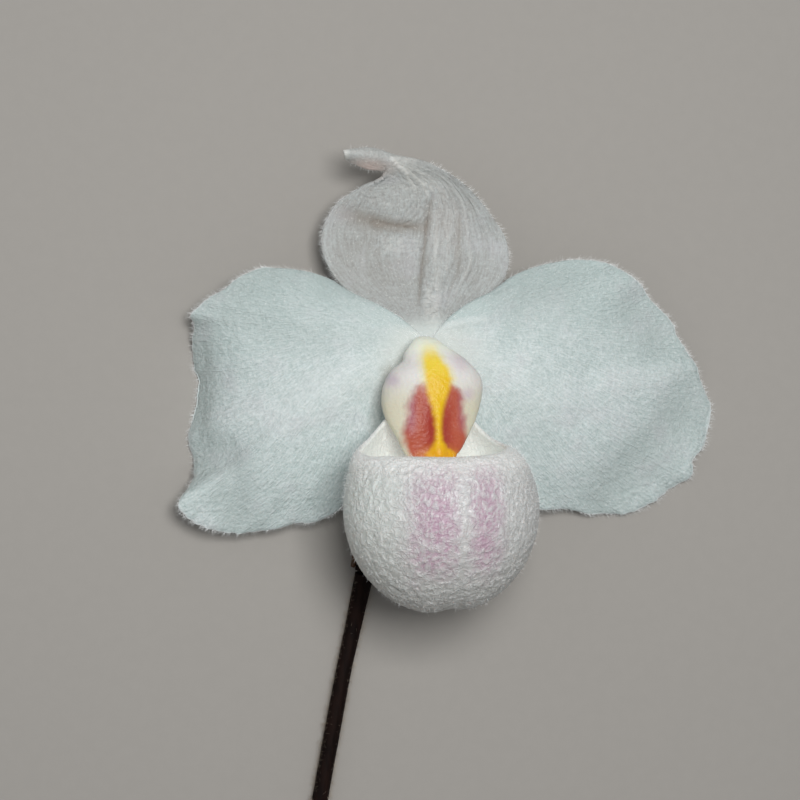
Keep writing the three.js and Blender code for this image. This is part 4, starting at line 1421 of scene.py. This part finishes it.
made, wire, plug = finish("staminode_wax")
place, x, y, _ = millimetres(wire)
smear = place.noise(900, 3) - 0.5
speckle = place.noise(1600, 2)
drift = place.noise(330, 2) - 0.5
x, y = x + smear * 0.45, y + smear * 0.9
half_width = along_y(wire, y, [(at, half) for at, half, middle in STRIPE], 3)
middle_x = along_y(wire, y, [(at, middle + 1) for at, half, middle in STRIPE], 2)
from_stripe = abs(x - middle_x + 1) - half_width
stripe = from_stripe.between(0.7, -0.7) * y.between(0.2, -3.4)
patch = (abs(x + 0.2) - along_y(wire, y, PATCHES, 6) + drift * 2.2).between(0.9, -1.0)
patch = patch * (y + drift * 2).between(-6.2, -8.8)
top = y.between(-2.8, -0.4)
foot = y.between(-16.8, -19.6)
print(len(STRIPE), "rows for the stripe and", len(PATCHES), "for the patches")

# %% Painted wax
LILAC, CREAM_ROSE = rgb(206, 184, 202), rgb(224, 206, 214)
cream = y.between(-5.0, -12.0).mix(rgb(239, 237, 233), rgb(224, 219, 196))
cream = dabbed(cream, x, y, [(-7.6, -6.6, 2, 2, 0.6, LILAC), (5.6, -9.0, 2, 2, 0.5, LILAC)])
cream = dabbed(cream, x, y, [(4.4, -3.4, 3, 3, 0.5, CREAM_ROSE)])
cream = top.mix(cream, rgb(238, 242, 228))
deep = y.between(-8.5, -13.5) * from_stripe.between(3.2, 0.4)
purple = abs(x).between(3.0, 4.8) * y.between(-17.5, -13.0)
red = deep.mix(rgb(184, 74, 44), rgb(168, 28, 12))
red = (purple * 0.75).mix(red, rgb(164, 94, 118))
# painted light and shade: the red lighter to the right of the stripe, and darker to its left on the next
# line; the speckles are the wax's own mottling
red = (speckle.between(0.5, 0.7) * 0.15 + x.between(-0.5, 1.5) * 0.1).mix(red, rgb(200, 116, 96))
red = (x.between(-0.5, -2.0) * 0.12).mix(red, rgb(160, 40, 20))
red = (foot * 0.6 * from_stripe.between(3.0, 0.5)).mix(red, rgb(214, 128, 40))
yellow = foot.mix(y.between(-8.0, -3.0).mix(rgb(240, 196, 26), rgb(250, 220, 74)), rgb(232, 170, 30))
halo = y.between(1.2, -1.6) * y.between(-10.0, -6.0) * from_stripe.between(1.8, -0.4)
colour = (halo * 0.6).mix(cream, rgb(238, 226, 130))
colour = stripe.mix((patch * 0.95).mix(colour, red), yellow)
plug(
    Base_Color=colour, Roughness=speckle * 0.15 + 0.3, Normal=speckle.bump(0.6, 0.0002),
    Specular_IOR_Level=0.25,
    Subsurface_Weight=0.2, Subsurface_Radius=(1.0, 0.6, 0.4), Subsurface_Scale=0.0008,
    # painted glow: the cream top glows a little
    Emission_Color=top.mix(BLACK, rgb(240, 244, 232)), Emission_Strength=0.12,
)
staminode.data.materials.append(made)
print("signal on the staminode:", len(made.node_tree.nodes), "nodes")

# %% [markdown]
# ## Small finishes
#
# The stigma is a waxy cream, and the anthers are sticky yellow pollen. Stem and ovary are a brown so
# dark that it is nearly black, with fine lengthwise streaks, and the bract is a dry olive with a rusty
# tone. The hairs are white and glow a little, a painted light for the light that they scatter; those of
# stem and ovary are tan.


# %% Wax, pollen, bark and hair
def plain(name, first, second, scale, roughness, stretch=(1, 1, 1), bump_height=0.00012, **extra):
    """A finish with two tones of noise and a bump, stretched along the axes if need be."""
    made, wire, plug = finish(name)
    place = wire.node("ShaderNodeTexCoord", output="Object")
    stretched = wire.node("ShaderNodeMapping", {"Vector": place, "Scale": stretch})
    mottle = stretched.noise(scale, 4, roughness=0.6)
    plug(
        Base_Color=mottle.between(0.3, 0.7).mix(first, second), Roughness=mottle * 0.2 + (roughness - 0.1),
        Normal=mottle.bump(0.6, bump_height), **extra,
    )
    return made


flesh = {"Subsurface_Weight": 0.2, "Subsurface_Scale": 0.001}
# painted light: the white hairs glow a little
glow = {"Emission_Color": rgb(240, 244, 242), "Emission_Strength": 0.25}
cream = plain("column_wax", rgb(226, 222, 196), rgb(240, 238, 222), 500, 0.4, **flesh)
pollen = plain("pollen", rgb(206, 150, 50), rgb(232, 190, 84), 1200, 0.45)
bark = plain("stem_skin", rgb(16, 8, 6), rgb(32, 19, 15), 900, 0.7, (1, 0.22, 1), Specular_IOR_Level=0.1)
husk = plain("bract_skin", rgb(44, 34, 20), rgb(112, 68, 30), 700, 0.6, (1, 0.3, 1))
white = plain("white_hair", rgb(236, 238, 238), rgb(250, 250, 250), 300, 0.35, **glow)
tan = plain("stem_hair", rgb(170, 152, 130), rgb(210, 196, 176), 300, 0.35)
for surface, pieces in (
    (cream, [stigma]), (pollen, [anther_left, anther_right]), (bark, [stem, ovary]), (husk, [bract]),
    (tan, dark_coat), (white, [piece for piece in hairs if piece not in dark_coat]),
):
    for piece in pieces:
        piece.data.materials.append(surface)
    print(surface.name, "on", len(pieces), "pieces")

# %% [markdown]
# ## Floor, light and camera
#
# The flower lies on a plain pale table, a little darker than the petals so that their white reads. One
# soft light hangs high above, a little past the tip of the dorsal sepal, a weaker and larger one stands
# to the left, and the world fills the shadows. The camera looks down on the flower from a little to the
# left of its axis.

# %% Table and world
FLOOR_DROP = 0.05 * MM  # the table lies this far under the flower, so that the two never coincide
bm = bmesh.new()
bmesh.ops.create_grid(bm, x_segments=1, y_segments=1, size=1.5)
bmesh.ops.translate(bm, verts=bm.verts, vec=(0, 0, -FLOOR_DROP))
table = show("table", as_mesh("table", bm))
table_top = plain("table_top", rgb(172, 168, 162), rgb(174, 170, 164), 400, 0.85, bump_height=0.00002)
table.data.materials.append(table_top)

scene = bpy.context.scene
scene.view_settings.view_transform = "Standard"
scene.world = bpy.data.worlds.new("studio")
scene.world.use_nodes = True
background = scene.world.node_tree.nodes["Background"]
background.inputs["Color"].default_value = (0.95, 0.97, 1.0, 1)
background.inputs["Strength"].default_value = 0.17
print("a table and a pale world")


# %% Lights
def soft_light(name, at, size, power, aim=(0, -12, 15)):
    """A square area light that looks at the flower."""
    lamp = bpy.data.lights.new(name, "AREA")
    lamp.size, lamp.energy = size, power
    piece = bpy.data.objects.new(name, lamp)
    scene.collection.objects.link(piece)
    piece.location = in_frame(at)
    piece.rotation_euler = Vector(in_frame(aim) - in_frame(at)).to_track_quat("-Z", "Y").to_euler()
    print(name, "light,", power, "watts")


soft_light("key", (5, 75, 478), 0.16, 1.55)
soft_light("fill", (-350, 60, 420), 0.5, 0.15)

# %% Camera
TILT, DISTANCE = math.radians(9), 460.0
LENS, SENSOR = 115, 36  # both in mm
AIM_LEFT, AIM_DOWN = 5.04, 10.26  # what the camera looks at, from the hub
hub = np.array([0, 0, HUB_HEIGHT])
right = np.array([math.cos(TILT), 0, math.sin(TILT)])
back = np.array([-math.sin(TILT), 0, math.cos(TILT)])
eye = hub + DISTANCE * back
target = hub - AIM_LEFT * right - np.array([0, AIM_DOWN, 0])
lens = bpy.data.cameras.new("camera")
lens.sensor_width, lens.lens = SENSOR, LENS
camera = bpy.data.objects.new("camera", lens)
scene.collection.objects.link(camera)
forward = Vector(target - eye).normalized()
sideways = forward.cross(Vector((0, 1, 0))).normalized()
camera.location = in_frame(eye)
camera.rotation_euler = Matrix((sideways, sideways.cross(forward), -forward)).transposed().to_euler()
scene.camera = camera
print("camera at", [round(value, 3) for value in camera.location])
